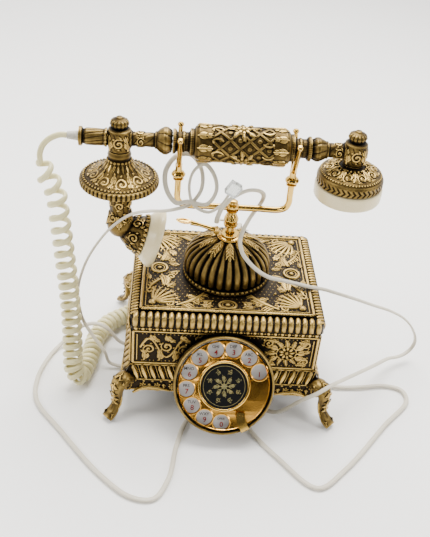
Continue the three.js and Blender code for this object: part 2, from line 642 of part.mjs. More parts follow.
// Flat line cord: round the cradle, over the casing, along the table and up to its plug
const low = flatCord + 0.4;
add('line_cord_top', tube([
  [glandX.line, glandFace + clearance, glandZ], [glandX.line, 80, glandZ], [glandX.line, 86, 40],
  [21, 88, 58],
  [18, 83, 88], [15, 72, 105], [13, 60, 105.5], [10, 47, 107], [8, 40, 114], [5, 31, 130], [1, 20, 140.5],
  [-5, 13, 145], [-10, 6, 149.5],
  [-12, -3, 152.5], [-12, -9, 161], [-9, -11, 172], [-2, -11, 181], [9, -8, 186.5], [19, -2, 184],
  [25, 5, 176],
  [24, 9, 166], [17, 6, 155], [10.5, -4, 147], [8, -11, 142], [8, -18, 141], [10, -25, 137.5],
  [16, -29, 131.5],
  [24, -30, 124.5], [34, -26, 116], [46, -22, 110.5], [61, -21, 106.5], [73, -22, 104.6],
  [82, -23, 104], [96, -24, 100.5], [112, -21, 93.5], [130, -16, 84], [148, -10, 74],
  [165, -4, 61], [179, 3, 42], [186, 9, 24], [185, 10, 15], [179, 7, 10], [171, 3, 9], [161, -3, 12],
  [142.7, -22, 20], [123.7, -42, 29], [106.3, -60, 37], [90.1, -76, 43.4], [79, -82, 40], [66, -80, 28.4],
  [55.4, -76, 14], [47, -71, 5], [40, -68, low],
], flatCord, 58), whiteCord);
add('line_cord_floor', tube([
  [38.6, -67.4, low], [20, -59, low], [-6, -62, low], [-27, -81, low], [-36, -110, low], [-42, -145, low],
  [-53, -164, low], [-70, -163, low], [-95, -143, low], [-132, -98, low], [-157, -64, low], [-160, -36, low],
  [-153, -6, low], [-145, 8, 4], [-132, 15, 15], [-123, 15, 22], [-113, 14, 24.5], [-103, 12, 21],
  [-89, 9, 7], [-50, 12, low],
  [-15, -8, low],
  [2, -34, 5], [14, -58, 8.4], [21, -76, 5], [26, -90, low], [48, -121, low], [76, -149, low],
  [101, -130, low],
  [144, -79, low], [170, -48, low], [168, -35, low], [154, -30, low], [130, -33, low], [108, -34, low],
  [70, -26, low], [30, -12, 4], [-4, -22, 8.6], [-30, -24, 4], [-60, -20, low], [-92, -19, low],
], flatCord, 46), whiteCord);
add('line_cord_left', tube([
  [-93.2, -18.9, low], [-98, -17, 5], [-103, -13, 14], [-114, -4, 24], [-123, 2, 36], [-126, -2, 54],
  [-126, -10, 82], [-118, -18, 116], [-107, -24, 141], [-94, -30, 162], [-80, -33, 175], [-67, -33, 178.5],
  [-56, -26, 175], [-46, -18, 172.5], [-36, -13, 174], [-27, -7, 184], [-27, 2, 197], [-36, 9, 207],
  [-47, 10, 205], [-55.5, 1, 196], [-54, -9, 184], [-46, -14.5, 176], [-37, -14, 177.5], [-22, -14, 176],
  [-15, -10, 186], [-17, -3, 196], [-25, 2, 203], [-33, -1.5, 199], [-36.5, -8, 188], [-32, -15, 175],
  [-20, -18.5, 171.5], [-11, -18, 178], [-5.5, -17.4, 187.5],
], flatCord, 54), whiteCord);
const plugStart = [-5.1, -17.4, 188.2];
const plugLean = 32;
add('line_plug', join(block(9.6, 6.6, 10.5, 0, 0, 0.2), block(4, 2.4, 5, 0, -2.6, 8))
  .rotateY(THREE.MathUtils.degToRad(plugLean)).translate(...plugStart), clearPlastic);

// The origin is under the middle of the telephone without its free cords, at its feet
const cordNodes = /^(curly_cord|line_cord|line_plug)/;
phone.updateMatrixWorld(true);
const bounds = new THREE.Box3();
phone.traverse((piece) => {
  if (piece.isMesh && !cordNodes.test(piece.name)) bounds.expandByObject(piece, true);
});
phone.position.set(-(bounds.min.x + bounds.max.x) / 2, -(bounds.min.y + bounds.max.y) / 2, 0);

export default phone;
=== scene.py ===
import json
import math
import bmesh
import bpy
from mathutils import Matrix, Vector
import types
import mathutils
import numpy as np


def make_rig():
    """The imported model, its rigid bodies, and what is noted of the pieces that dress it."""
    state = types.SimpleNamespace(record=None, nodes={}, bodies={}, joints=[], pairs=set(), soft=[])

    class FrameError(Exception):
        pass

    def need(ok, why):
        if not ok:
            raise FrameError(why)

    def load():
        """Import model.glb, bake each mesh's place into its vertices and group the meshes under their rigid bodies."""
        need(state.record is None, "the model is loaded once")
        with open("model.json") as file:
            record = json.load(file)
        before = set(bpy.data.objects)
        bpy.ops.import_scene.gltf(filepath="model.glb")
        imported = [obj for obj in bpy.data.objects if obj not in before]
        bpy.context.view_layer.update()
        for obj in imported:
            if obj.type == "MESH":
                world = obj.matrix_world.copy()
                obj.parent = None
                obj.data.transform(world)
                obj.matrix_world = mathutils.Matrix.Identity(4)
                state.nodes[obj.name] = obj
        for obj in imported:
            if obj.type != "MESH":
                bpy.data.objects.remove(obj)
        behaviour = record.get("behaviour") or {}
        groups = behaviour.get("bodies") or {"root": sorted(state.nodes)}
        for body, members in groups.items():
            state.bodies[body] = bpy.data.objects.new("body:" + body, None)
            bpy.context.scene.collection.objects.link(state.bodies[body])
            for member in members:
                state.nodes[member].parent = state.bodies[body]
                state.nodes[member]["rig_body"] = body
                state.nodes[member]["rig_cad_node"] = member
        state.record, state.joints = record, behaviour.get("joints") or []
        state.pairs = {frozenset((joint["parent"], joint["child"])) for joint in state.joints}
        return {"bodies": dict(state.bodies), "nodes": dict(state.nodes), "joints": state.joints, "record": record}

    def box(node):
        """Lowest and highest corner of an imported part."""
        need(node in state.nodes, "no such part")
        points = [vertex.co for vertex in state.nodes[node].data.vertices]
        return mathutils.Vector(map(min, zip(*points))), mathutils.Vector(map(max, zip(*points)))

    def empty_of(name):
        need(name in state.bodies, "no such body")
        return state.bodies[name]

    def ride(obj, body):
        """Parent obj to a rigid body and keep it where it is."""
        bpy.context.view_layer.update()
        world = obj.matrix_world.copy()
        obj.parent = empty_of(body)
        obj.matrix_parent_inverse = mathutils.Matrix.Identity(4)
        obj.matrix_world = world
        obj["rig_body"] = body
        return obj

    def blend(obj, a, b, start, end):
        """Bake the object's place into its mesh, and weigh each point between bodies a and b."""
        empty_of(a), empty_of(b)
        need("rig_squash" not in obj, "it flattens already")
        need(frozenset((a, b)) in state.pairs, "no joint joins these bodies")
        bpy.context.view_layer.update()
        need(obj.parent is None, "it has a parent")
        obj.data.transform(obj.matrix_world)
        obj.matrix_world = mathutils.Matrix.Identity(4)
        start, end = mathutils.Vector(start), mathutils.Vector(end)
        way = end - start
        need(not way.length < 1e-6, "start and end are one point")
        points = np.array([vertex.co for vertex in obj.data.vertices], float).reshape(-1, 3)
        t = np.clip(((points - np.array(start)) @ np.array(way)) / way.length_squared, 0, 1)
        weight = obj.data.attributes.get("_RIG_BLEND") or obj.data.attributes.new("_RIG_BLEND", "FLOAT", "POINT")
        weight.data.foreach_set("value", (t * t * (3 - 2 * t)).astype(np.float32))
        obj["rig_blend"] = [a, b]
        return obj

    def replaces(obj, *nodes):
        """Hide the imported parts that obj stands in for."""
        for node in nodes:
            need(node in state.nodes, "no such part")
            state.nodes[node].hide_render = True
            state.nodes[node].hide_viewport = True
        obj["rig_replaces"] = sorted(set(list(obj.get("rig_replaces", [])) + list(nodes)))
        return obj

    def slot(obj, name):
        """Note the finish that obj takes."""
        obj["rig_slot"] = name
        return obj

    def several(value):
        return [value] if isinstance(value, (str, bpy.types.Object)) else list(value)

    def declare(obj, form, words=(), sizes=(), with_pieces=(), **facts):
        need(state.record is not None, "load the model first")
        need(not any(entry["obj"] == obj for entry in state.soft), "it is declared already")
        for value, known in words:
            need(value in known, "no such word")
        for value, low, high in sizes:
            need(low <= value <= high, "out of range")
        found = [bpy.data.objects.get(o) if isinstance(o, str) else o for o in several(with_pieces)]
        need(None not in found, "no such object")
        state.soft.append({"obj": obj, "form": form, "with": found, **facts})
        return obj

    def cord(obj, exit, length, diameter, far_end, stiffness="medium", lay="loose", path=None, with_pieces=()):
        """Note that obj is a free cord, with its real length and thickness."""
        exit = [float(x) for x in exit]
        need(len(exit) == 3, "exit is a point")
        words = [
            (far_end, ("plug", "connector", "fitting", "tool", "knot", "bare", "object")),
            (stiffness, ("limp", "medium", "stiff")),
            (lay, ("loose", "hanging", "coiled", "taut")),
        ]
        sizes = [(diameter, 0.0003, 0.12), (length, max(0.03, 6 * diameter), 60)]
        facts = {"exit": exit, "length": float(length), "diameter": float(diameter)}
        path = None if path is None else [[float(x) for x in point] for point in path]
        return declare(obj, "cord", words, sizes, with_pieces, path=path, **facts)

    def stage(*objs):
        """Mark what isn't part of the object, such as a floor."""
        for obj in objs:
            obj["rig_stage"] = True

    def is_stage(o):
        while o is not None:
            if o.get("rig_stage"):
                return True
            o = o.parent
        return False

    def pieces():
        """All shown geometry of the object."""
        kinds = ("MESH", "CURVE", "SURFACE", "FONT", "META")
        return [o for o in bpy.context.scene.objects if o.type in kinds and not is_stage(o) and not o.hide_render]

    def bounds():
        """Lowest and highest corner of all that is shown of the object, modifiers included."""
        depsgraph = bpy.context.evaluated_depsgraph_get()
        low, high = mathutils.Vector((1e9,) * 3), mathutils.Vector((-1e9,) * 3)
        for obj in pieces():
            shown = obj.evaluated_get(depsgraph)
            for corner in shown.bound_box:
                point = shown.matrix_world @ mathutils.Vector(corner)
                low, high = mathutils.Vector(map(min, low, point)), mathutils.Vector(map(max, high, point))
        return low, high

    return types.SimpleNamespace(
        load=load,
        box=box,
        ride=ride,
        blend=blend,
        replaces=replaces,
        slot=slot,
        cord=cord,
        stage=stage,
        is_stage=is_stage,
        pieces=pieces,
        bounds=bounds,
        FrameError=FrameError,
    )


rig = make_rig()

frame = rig.load()
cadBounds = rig.bounds()
mm = 0.001
tau = 2 * math.pi

# The middle of the casing at the desk, which every place below is measured from, in mm
low, high = (Vector(corner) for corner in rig.box("bottom_plate"))
casingMid = Vector(((low.x + high.x) / 2, (low.y + high.y) / 2, 0))
toFrame = Matrix.Translation(casingMid) @ Matrix.Scale(mm, 4)


def at(x, y, z):
    return toFrame @ Vector((x, y, z))


# ---- camera, light and floor
camera = {
    "place": (-52.2, -553.2, 500.1),
    "pitch": 35.54,  # degrees down
    "yaw": 4.41,
    "roll": 5.33,
    "focal": 792.0 / 537,  # focal length over the picture's height
}
pitch, yaw, roll = (math.radians(camera[key]) for key in ("pitch", "yaw", "roll"))
forward = Vector((math.sin(yaw) * math.cos(pitch), math.cos(yaw) * math.cos(pitch), -math.sin(pitch)))
level = Vector((math.cos(yaw), -math.sin(yaw), 0))
right = math.cos(roll) * level + math.sin(roll) * level.cross(forward)
upward = right.cross(forward)
lens = bpy.data.cameras.new("camera")
lens.sensor_width = 36
lens.lens = 36 * camera["focal"]
lens.clip_start = 0.01
eye = bpy.data.objects.new("camera", lens)
bpy.context.collection.objects.link(eye)
turn = Matrix((right, upward, -forward)).transposed().to_4x4()
eye.matrix_world = Matrix.Translation(at(*camera["place"])) @ turn
bpy.context.scene.camera = eye


def linear(code, alpha=1.0):
    channels = [int(code[i:i + 2], 16) / 255 for i in (1, 3, 5)]
    return [c / 12.92 if c <= 0.04045 else ((c + 0.055) / 1.055) ** 2.4 for c in channels] + [alpha]


def addNode(tree, kind, values=None, links=None):
    made = tree.nodes.new(kind)
    for key, value in (values or {}).items():
        if isinstance(key, int) or key in made.inputs:
            made.inputs[key].default_value = value
        else:
            setattr(made, key, value)
    for key, source in (links or {}).items():
        tree.links.new(source, made.inputs[key])
    return made


def addRamp(tree, source, stops):
    ramp = addNode(tree, "ShaderNodeValToRGB", links={"Fac": source})
    band = ramp.color_ramp.elements
    while len(band) < len(stops):
        band.new(0.5)
    for spot, (place, color) in zip(band, stops):
        spot.position = place
        spot.color = linear(color) if isinstance(color, str) else (color, color, color, 1)
    return ramp.outputs["Color"]


studio = {"floor": "#f4f2ee", "back": 2.3, "front": 0.04, "key": 46, "side": 8}
world = bpy.data.worlds.new("studio")
bpy.context.scene.world = world
world.use_nodes = True
sky = world.node_tree
sky.nodes.clear()
skyCoordinates = addNode(sky, "ShaderNodeTexCoord")
skyParts = addNode(sky, "ShaderNodeSeparateXYZ", links={0: skyCoordinates.outputs["Generated"]})
skyBand = addNode(sky, "ShaderNodeMapRange", {"From Min": -0.55, "From Max": 0.35, "To Min": studio["front"],
                                             "To Max": studio["back"]}, {"Value": skyParts.outputs["Y"]})
skyShader = addNode(sky, "ShaderNodeBackground", {"Color": (1, 0.99, 0.97, 1)}, {"Strength": skyBand.outputs[0]})
addNode(sky, "ShaderNodeOutputWorld", links={"Surface": skyShader.outputs[0]})


def softbox(name, place, target, size, power):
    lamp = bpy.data.lights.new(name, "AREA")
    lamp.size = size
    lamp.energy = power
    holder = bpy.data.objects.new(name, lamp)
    bpy.context.collection.objects.link(holder)
    away = Vector(place) - Vector(target)
    holder.matrix_world = Matrix.Translation(place) @ away.to_track_quat("Z", "Y").to_matrix().to_4x4()


softbox("topBox", (0.1, 0.45, 1.25), (0, 0, 0.1), 1.0, studio["key"])
softbox("leftBox", (-1.1, -0.25, 0.8), (0, 0, 0.1), 0.5, studio["side"])
softbox("rightBox", (1.0, -0.5, 0.6), (0, 0, 0.12), 0.3, studio["side"] * 0.6)
softbox("frontBox", (-0.15, -1.2, 0.75), (0, 0, 0.1), 0.3, studio["side"] * 0.4)

floorMesh = bpy.data.meshes.new("floor")
floorShape = bmesh.new()
bmesh.ops.create_grid(floorShape, x_segments=1, y_segments=1, size=6)
floorShape.to_mesh(floorMesh)
floorShape.free()
floor = bpy.data.objects.new("floor", floorMesh)
bpy.context.collection.objects.link(floor)
floorPaint = bpy.data.materials.new("floorPaper")
floorPaint.use_nodes = True
floorShader = floorPaint.node_tree.nodes["Principled BSDF"]
floorShader.inputs["Base Color"].default_value = linear(studio["floor"])
floorShader.inputs["Roughness"].default_value = 0.9
floorMesh.materials.append(floorPaint)
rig.stage(floor)
print("stage set")


# ---- materials
def newMaterial(name):
    material = bpy.data.materials.new(name)
    material.use_nodes = True
    tree = material.node_tree
    tree.nodes.clear()
    place = addNode(tree, "ShaderNodeTexCoord").outputs["Object"]
    return material, tree, place


def noise(tree, place, size, detail=3.0, roughness=0.55):
    return addNode(tree, "ShaderNodeTexNoise", {"Scale": 1 / (size * mm), "Detail": detail, "Roughness": roughness},
                   {"Vector": place}).outputs["Fac"]


def mixColor(tree, amount, first, second):
    mix = addNode(tree, "ShaderNodeMix", {"data_type": "RGBA"}, {0: amount})
    for index, side in ((6, first), (7, second)):
        if isinstance(side, str):
            mix.inputs[index].default_value = linear(side)
        else:
            tree.links.new(side, mix.inputs[index])
    return mix.outputs[2]


def span(tree, source, start, stop):
    return addNode(tree, "ShaderNodeMapRange", {"To Min": start, "To Max": stop}, {"Value": source}).outputs[0]


def shade(tree, color, rough, bump=None, height=0.1, fixed=None, strength=1.0):
    values = dict(fixed or {})
    links = {}
    for key, value in (("Base Color", color), ("Roughness", rough)):
        if isinstance(value, bpy.types.NodeSocket):
            links[key] = value
        else:
            values[key] = linear(value) if isinstance(value, str) else value
    if bump is not None:
        relief = addNode(tree, "ShaderNodeBump", {"Distance": height * mm, "Strength": strength}, {"Height": bump})
        links["Normal"] = relief.outputs[0]
    shader = addNode(tree, "ShaderNodeBsdfPrincipled", values, links)
    addNode(tree, "ShaderNodeOutputMaterial", links={"Surface": shader.outputs[0]})


# Cast brass darkened in its hollows, partly by a real wax-dark patina and partly as painted shade, and lightened on its
# high spots and edges, partly as rubbed wear and partly as a painted highlight
def castBrass(name, dark, middle, bright, depth=3.4, roughHigh=0.22, bare=0.68):
    material, tree, place = newMaterial(name)
    # Ambient occlusion darkens the hollows: the patina there together with painted shade
    hollow = addNode(tree, "ShaderNodeAmbientOcclusion", {"samples": 8, "Distance": depth * mm}).outputs["AO"]
    patches = noise(tree, place, 14)
    grain = noise(tree, place, 0.9, 4)
    patinaShadeAndHighlight = addNode(tree, "ShaderNodeMath", {"operation": "MULTIPLY_ADD", 1: 0.24}, {0: patches, 2: hollow})
    # Pointiness lightens convex edges as a painted highlight along with rubbed wear, and darkens creases as painted
    # shade
    edge = addNode(tree, "ShaderNodeMapRange", {"From Min": 0.44, "From Max": 0.6, "To Min": -0.24, "To Max": 0.2},
                   {"Value": addNode(tree, "ShaderNodeNewGeometry").outputs["Pointiness"]}).outputs[0]
    patinaShadeAndHighlight = addNode(tree, "ShaderNodeMath", {"operation": "ADD"}, {0: patinaShadeAndHighlight.outputs[0], 1: edge})
    # Openness runs from the patina and painted shade of the hollows to the worn, painted-highlight crests
    openness = addNode(tree, "ShaderNodeMapRange", {"From Min": bare, "From Max": 1.42}, {"Value": patinaShadeAndHighlight.outputs[0]})
    tone = addRamp(tree, openness.outputs[0], [(0.1, dark), (0.45, middle), (0.9, bright)])
    speck = addRamp(tree, grain, [(0.35, 0.0), (0.75, 1.0)])
    color = mixColor(tree, span(tree, speck, 0.0, 0.22), tone, dark)
    rough = addRamp(tree, openness.outputs[0], [(0.0, 0.7), (0.5, 0.42), (1.0, roughHigh)])
    shade(tree, color, rough, grain, 0.2, {"Metallic": 0.92})
    return material


# Each ramp goes from dark (patina and painted shade in hollows) to bright (worn brass and painted highlight on open
# crests)
antiqueBrass = castBrass("antiqueCastBrass", "#060503", "#35270c", "#d0ad60")
groundBrass = castBrass("stippledGroundBrass", "#050402", "#0f0b06", "#241c10", 3.4, 0.34, 0.5)


# Turned brass, buffed and lacquered, with faint smears, and painted shade darkening its hollows
def buffedBrass(name, color, smearAndShadeColor, rough):
    material, tree, place = newMaterial(name)
    smear = noise(tree, place, 9, 4)
    # Ambient occlusion mixes in the darker colour as painted shade in the hollows
    hollow = addNode(tree, "ShaderNodeAmbientOcclusion", {"samples": 6, "Distance": 2.5 * mm}).outputs["AO"]
    tone = mixColor(tree, span(tree, hollow, 1.0, 0.0), color, smearAndShadeColor)
    shade(tree, mixColor(tree, span(tree, smear, 0.0, 0.25), tone, smearAndShadeColor),
          span(tree, smear, rough, rough + 0.14), noise(tree, place, 1.3), 0.02, {"Metallic": 1.0})
    return material


# The second colour is both the smear tone and the painted shade of the hollows
polishedBrass = buffedBrass("polishedBrass", "#dcb45c", "#6a4716", 0.12)
dialBrass = buffedBrass("lacqueredDialBrass", "#d8a347", "#7a4412", 0.13)


# Plain moulded or painted surfaces: two close tones, a soft bump and a satin gloss
def moulded(name, color, second, rough, size=18, fixed=None, grit=0.5):
    material, tree, place = newMaterial(name)
    cloud = noise(tree, place, size, 4)
    fine = noise(tree, place, grit, 2)
    shade(tree, mixColor(tree, cloud, color, second), span(tree, fine, rough - 0.05, rough + 0.07), fine, 0.012, fixed)
    return material


ivory = moulded("ivoryPhenolic", "#e2d3a8", "#d4c393", 0.26)
creamJacket = moulded("creamVinylJacket", "#ddd4a4", "#cfc48c", 0.34)
whiteJacket = moulded("whiteFlatJacket", "#cdc5b2", "#b9b09b", 0.42)
greyBoot = moulded("greyVinylBoot", "#b9b4a6", "#a39d8e", 0.5)
plateEnamel = moulded("greyPlateEnamel", "#cfcdca", "#bfbdbb", 0.32)
blackCard = moulded("blackCard", "#030304", "#08090a", 0.7, 18, {"Specular IOR Level": 0.12})
phenolic = moulded("blackPhenolic", "#141416", "#202024", 0.45)
zincSteel = moulded("zincPlatedSteel", "#a4a7aa", "#85888c", 0.3, 6, {"Metallic": 1.0})
copperWire = moulded("enamelledCopperWire", "#b05a2a", "#7e3715", 0.28, 1.2, {"Metallic": 1.0})
redInk = moulded("redInk", "#a8222a", "#8c1820", 0.5)
blackInk = moulded("blackInk", "#131316", "#1d1d22", 0.5)
goldPrint = moulded("goldPrint", "#b99f5c", "#3f5a48", 0.35, 3.2, {"Metallic": 0.6})
clearPlug = moulded("clearPlugPlastic", "#e6e8e4", "#d5d9d4", 0.12, 10, {"Transmission Weight": 0.75, "IOR": 1.49})
print("materials mixed")


# ---- modelling helpers, all in mm from the casing's middle
def finished(shape, name, body, slotName, material, hides=(), sharp=38):
    bmesh.ops.transform(shape, matrix=toFrame, verts=shape.verts)
    mesh = bpy.data.meshes.new(name)
    shape.to_mesh(mesh)
    shape.free()
    mesh.shade_smooth()
    mesh.set_sharp_from_angle(angle=math.radians(sharp))
    piece = bpy.data.objects.new(name, mesh)
    bpy.context.collection.objects.link(piece)
    mesh.materials.append(material)
    if body:
        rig.ride(piece, body)
    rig.slot(piece, slotName)
    if hides:
        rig.replaces(piece, *hides)
    return piece


# Centripetal spline through the points, sampled about every step mm
def smoothLine(points, step):
    spots = [Vector(p) for p in points]
    spots = [2 * spots[0] - spots[1]] + spots + [2 * spots[-1] - spots[-2]]
    line = []
    for a, b, c, d in zip(spots, spots[1:], spots[2:], spots[3:]):
        ka, kb, kc = ((q - p).length ** 0.5 for p, q in ((a, b), (b, c), (c, d)))
        count = max(1, round((c - b).length / step))
        for i in range(count):
            t = i / count
            goB = (b - a) / ka - (c - a) / (ka + kb) + (c - b) / kb
            goC = (c - b) / kb - (d - b) / (kb + kc) + (d - c) / kc
            goB, goC = goB * kb, goC * kb
            line.append((2 * t**3 - 3 * t**2 + 1) * b + (t**3 - 2 * t**2 + t) * goB
                        + (3 * t**2 - 2 * t**3) * c + (t**3 - t**2) * goC)
    return line + [spots[-2]]


def lineLength(line):
    return sum((b - a).length for a, b in zip(line, line[1:]))


# Tangent, side and lift at each point of a line, the side carried along without twist
def carried(line, side):
    rows = []
    for i, spot in enumerate(line):
        along = (line[min(i + 1, len(line) - 1)] - line[max(i - 1, 0)]).normalized()
        side = (side - side.dot(along) * along).normalized()
        rows.append((along, side, along.cross(side)))
    return rows


# A closed tube of the section's points along a line; level or guides turn a flat section
def hoseAlong(line, section, side=Vector((0, 0, 1)), level=0.0, guides=None):
    shape = bmesh.new()
    rings = []
    for i, spot in enumerate(line):
        along = (line[min(i + 1, len(line) - 1)] - line[max(i - 1, 0)]).normalized()
        flat = Vector((0, 0, 1)).cross(along)
        if flat.dot(side) < 0:
            flat = -flat
        side = guides[i] if guides else side + level * flat.length * flat
        side = (side - side.dot(along) * along).normalized()
        lift = along.cross(side)
        rings.append([shape.verts.new(spot + a * side + b * lift) for a, b in section])
    for first, second in zip(rings, rings[1:]):
        for j in range(len(section)):
            k = (j + 1) % len(section)
            shape.faces.new((first[j], first[k], second[k], second[j]))
    shape.faces.new(rings[0][::-1])
    shape.faces.new(rings[-1])
    return shape


def oval(halfWide, halfThick, count):
    return [(halfWide * math.cos(tau * i / count), halfThick * math.sin(tau * i / count)) for i in range(count)]


# ---- cords
handsetZ = 222.5
glandZ = 34
glandFace = 74
curl = {
    "halfWide": 2.5,
    "halfThick": 1.8,
    "outside": 8.85,
    "pitchTop": 13.5,  # turns hang apart at the top and close up towards the desk
    "pitchLow": 6.2,
    "closing": 190,  # mm of coil over which they close up
    "lead": [(-132.3, 0, handsetZ), (-137, 0, handsetZ), (-145, -1.5, 219.5), (-150.5, -3.6, 214),
             (-152.4, -5.4, 208.5), (-152.6, -6, 205.4)],
    "coil": [(-152.4, -6.1, 203.6), (-151.6, -6.3, 198), (-147.5, -7, 190), (-141.5, -8, 176),
             (-138.3, -12, 152.8), (-135.5, -16, 126.4), (-131.8, -22, 90), (-129.6, -28, 62),
             (-128.5, -36, 36), (-127, -42, 19), (-123, -41, 11), (-119, -28, 9), (-116, -8, 9),
             (-113, 14, 9), (-104, 34, 9), (-88, 48, 9), (-73, 60, 9), (-66, 76, 9)],
    "tail": [(-65.6, 77.2, 9), (-63, 86, 9), (-56, 93, 14), (-49, 92, 24), (-46, 86, glandZ - 2),
             (-46, 80, glandZ), (-46, glandFace + 0.3, glandZ)],
}


# The wire's own line: straight lead, helix about the coil's line, straight tail
def curlyLine():
    coil = smoothLine(curl["coil"], 0.5)
    rows = carried(coil, Vector((0, 1, 0)))
    total = lineLength(coil)
    reach = curl["outside"] - curl["halfThick"]
    wire = smoothLine(curl["lead"], 2)[:-1]
    phase, gone = math.pi, 0.0
    points = []
    guides = [rows[0][0]] * len(wire)
    for i, (spot, (along, side, lift)) in enumerate(zip(coil, rows)):
        if i:
            gone += (spot - coil[i - 1]).length
        ease = min(1, gone / 9, (total - gone) / 9)
        radius = reach * (ease * ease * (3 - 2 * ease))
        share = min(1, gone / curl["closing"])
        pitchNow = curl["pitchTop"] + (curl["pitchLow"] - curl["pitchTop"]) * share
        phase += tau * 0.5 / pitchNow
        points.append(spot + radius * (math.cos(phase) * side + math.sin(phase) * lift))
        guides.append(along)
    tail = smoothLine(curl["tail"], 2)[1:]
    return wire + points + tail, guides + [Vector((0, 0, 1))] * len(tail)


wireLine, wireGuides = curlyLine()
splitHeight = 60  # mm above the desk, where the hanging part is joined to the part on the desk
splitAt = next(i for i, p in enumerate(wireLine) if p.z < splitHeight and p.z > 9 and i > 40)
upperLine, lowerLine = wireLine[:splitAt + 1], wireLine[splitAt:]
wireSection = oval(curl["halfWide"], curl["halfThick"], 12)


def cordPiece(name, line, section, body, slotName, material, hides=(), side=Vector((0, 1, 0)), level=0.0,
              guides=None):
    return finished(hoseAlong(line, section, side, level, guides), name, body, slotName, material, hides, 60)


upperCord = cordPiece("curlyCordUpper", upperLine, wireSection, None, "cream_curly_cord", creamJacket,
                      ("curly_cord_lead", "curly_cord_coil"), guides=wireGuides[:splitAt + 1])
lowerCord = cordPiece("curlyCordLower", lowerLine, wireSection, None, "cream_curly_cord", creamJacket,
                      ("curly_cord_tail",), guides=wireGuides[splitAt:])
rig.blend(upperCord, "handset", "cradle", tuple(at(-150, -6, 206)), tuple(at(-150, -6, splitHeight + 8)))
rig.blend(lowerCord, "cradle", "base", tuple(at(-128, -30, splitHeight - 6)), tuple(at(-128, -30, 12)))
print("curly cord", round(lineLength(upperLine)), round(lineLength(lowerLine)))

flat = {"halfWide": 2.0, "halfThick": 1.05, "low": 2.4}
lowEnd = flat["low"]
lineTop = [
    (22, glandFace + 0.3, glandZ), (22, 80, glandZ), (22, 86, 40), (21, 88, 58), (18, 83, 88), (15, 72, 105),
    (13, 60, 105.5), (10, 47, 107), (8, 40, 114), (5, 31, 130), (1, 20, 140.5), (-5, 13, 145), (-10, 6, 149.5),
    (-12, -3, 152.5), (-12, -9, 161), (-9, -11, 172), (-2, -11, 181), (9, -8, 186.5), (19, -2, 184), (25, 5, 176),
    (24, 9, 166), (17, 6, 155), (10.5, -4, 147), (8, -11, 142), (8, -18, 141), (10, -25, 137.5), (16, -29, 131.5),
    (24, -30, 124.5), (34, -26, 116), (46, -22, 110.5), (61, -21, 106.5), (73, -22, 104.6), (82, -23, 104),
    (96, -24, 100.5), (112, -21, 93.5), (130, -16, 84), (148, -10, 74), (165, -4, 61), (179, 3, 42), (186, 9, 24),
    (185, 10, 15), (179, 7, 10), (171, 3, 9), (161, -3, 12), (142.7, -22, 20), (123.7, -42, 29), (106.3, -60, 37),
    (90.1, -76, 43.4), (79, -82, 40), (66, -80, 28.4), (55.4, -76, 14), (47, -71, 5), (40, -68, lowEnd),
]
lineFloor = [
    (38.6, -67.4, lowEnd), (20, -59, lowEnd), (-6, -62, lowEnd), (-27, -81, lowEnd), (-36, -110, lowEnd), (-42, -145,
            lowEnd),
    (-53, -164, lowEnd), (-70, -163, lowEnd), (-95, -143, lowEnd), (-132, -98, lowEnd), (-157, -64, lowEnd), (-160,
            -36, lowEnd),
    (-153, -6, lowEnd), (-145, 8, 4), (-132, 15, 15), (-123, 15, 22), (-113, 14, 24.5), (-103, 12, 21), (-89, 9, 7),
    (-50, 12, lowEnd), (-15, -8, lowEnd), (2, -34, 5), (14, -58, 8.4), (21, -76, 5), (26, -90, lowEnd), (48, -121,
            lowEnd),
    (76, -149, lowEnd), (101, -130, lowEnd), (144, -79, lowEnd), (170, -48, lowEnd), (168, -35, lowEnd), (154, -30,
            lowEnd),
    (130, -33, lowEnd), (108, -34, lowEnd), (70, -26, lowEnd), (30, -12, 4), (-4, -22, 8.6), (-30, -24, 4), (-60,
            -20, lowEnd),
    (-92, -19, lowEnd),
]
lineLeft = [
    (-93.2, -18.9, lowEnd), (-98, -17, 5), (-103, -13, 14), (-114, -4, 24), (-123, 2, 36), (-126, -2, 54),
    (-126, -10, 82), (-118, -18, 116), (-107, -24, 141), (-94, -30, 162), (-80, -33, 175), (-67, -33, 178.5),
    (-56, -26, 175), (-46, -18, 172.5), (-36, -13, 174), (-27, -7, 184), (-27, 2, 197), (-36, 9, 207),
    (-47, 10, 205), (-55.5, 1, 196), (-54, -9, 184), (-46, -14.5, 176), (-37, -14, 177.5), (-22, -14, 176),
    (-15, -10, 186), (-17, -3, 196), (-25, 2, 203), (-33, -1.5, 199), (-36.5, -8, 188), (-32, -15, 175),
    (-20, -18.5, 171.5), (-11, -18, 178), (-5.5, -17.4, 187.5),
]
wholeLine = smoothLine(lineTop[:-1] + lineFloor[1:-1] + lineLeft[1:], 2.2)
flatCord = cordPiece("flatLineCord", wholeLine, oval(flat["halfWide"], flat["halfThick"], 10), "base",
                     "white_line_cord", whiteJacket, ("line_cord_top", "line_cord_floor", "line_cord_left"),
                     Vector((1, 0, 0)), 0.06)
print("line cord", round(lineLength(wholeLine)))


def inFrame(line):
    return [tuple(toFrame @ p) for p in line]


cordFacts = {"upper": 0.7, "lower": 1.36, "line": 2.42}  # metres of cord, measured along the wire
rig.cord(upperCord, exit=tuple(at(-132.3, 0, handsetZ)), length=cordFacts["upper"], diameter=0.0054, far_end="object",
        stiffness="limp", lay="hanging", path=inFrame(upperLine))
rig.cord(lowerCord, exit=inFrame(lowerLine)[0], length=cordFacts["lower"], diameter=0.0054, far_end="object",
        stiffness="limp", lay="loose", path=inFrame(lowerLine))
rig.cord(flatCord, exit=inFrame(wholeLine)[0], length=cordFacts["line"], diameter=0.0042, far_end="plug",
        stiffness="limp", lay="loose", path=inFrame(wholeLine), with_pieces=[bpy.data.objects["line_plug"]])

# ---- relief: turned bodies with a moved surface, and round-backed strokes laid on a surface
def evenLine(points, step):
    line = []
    for a, b in zip(points, points[1:]):
        count = max(1, round((b - a).length / step))
        line += [a.lerp(b, i / count) for i in range(count)]
    return line + [points[-1]]


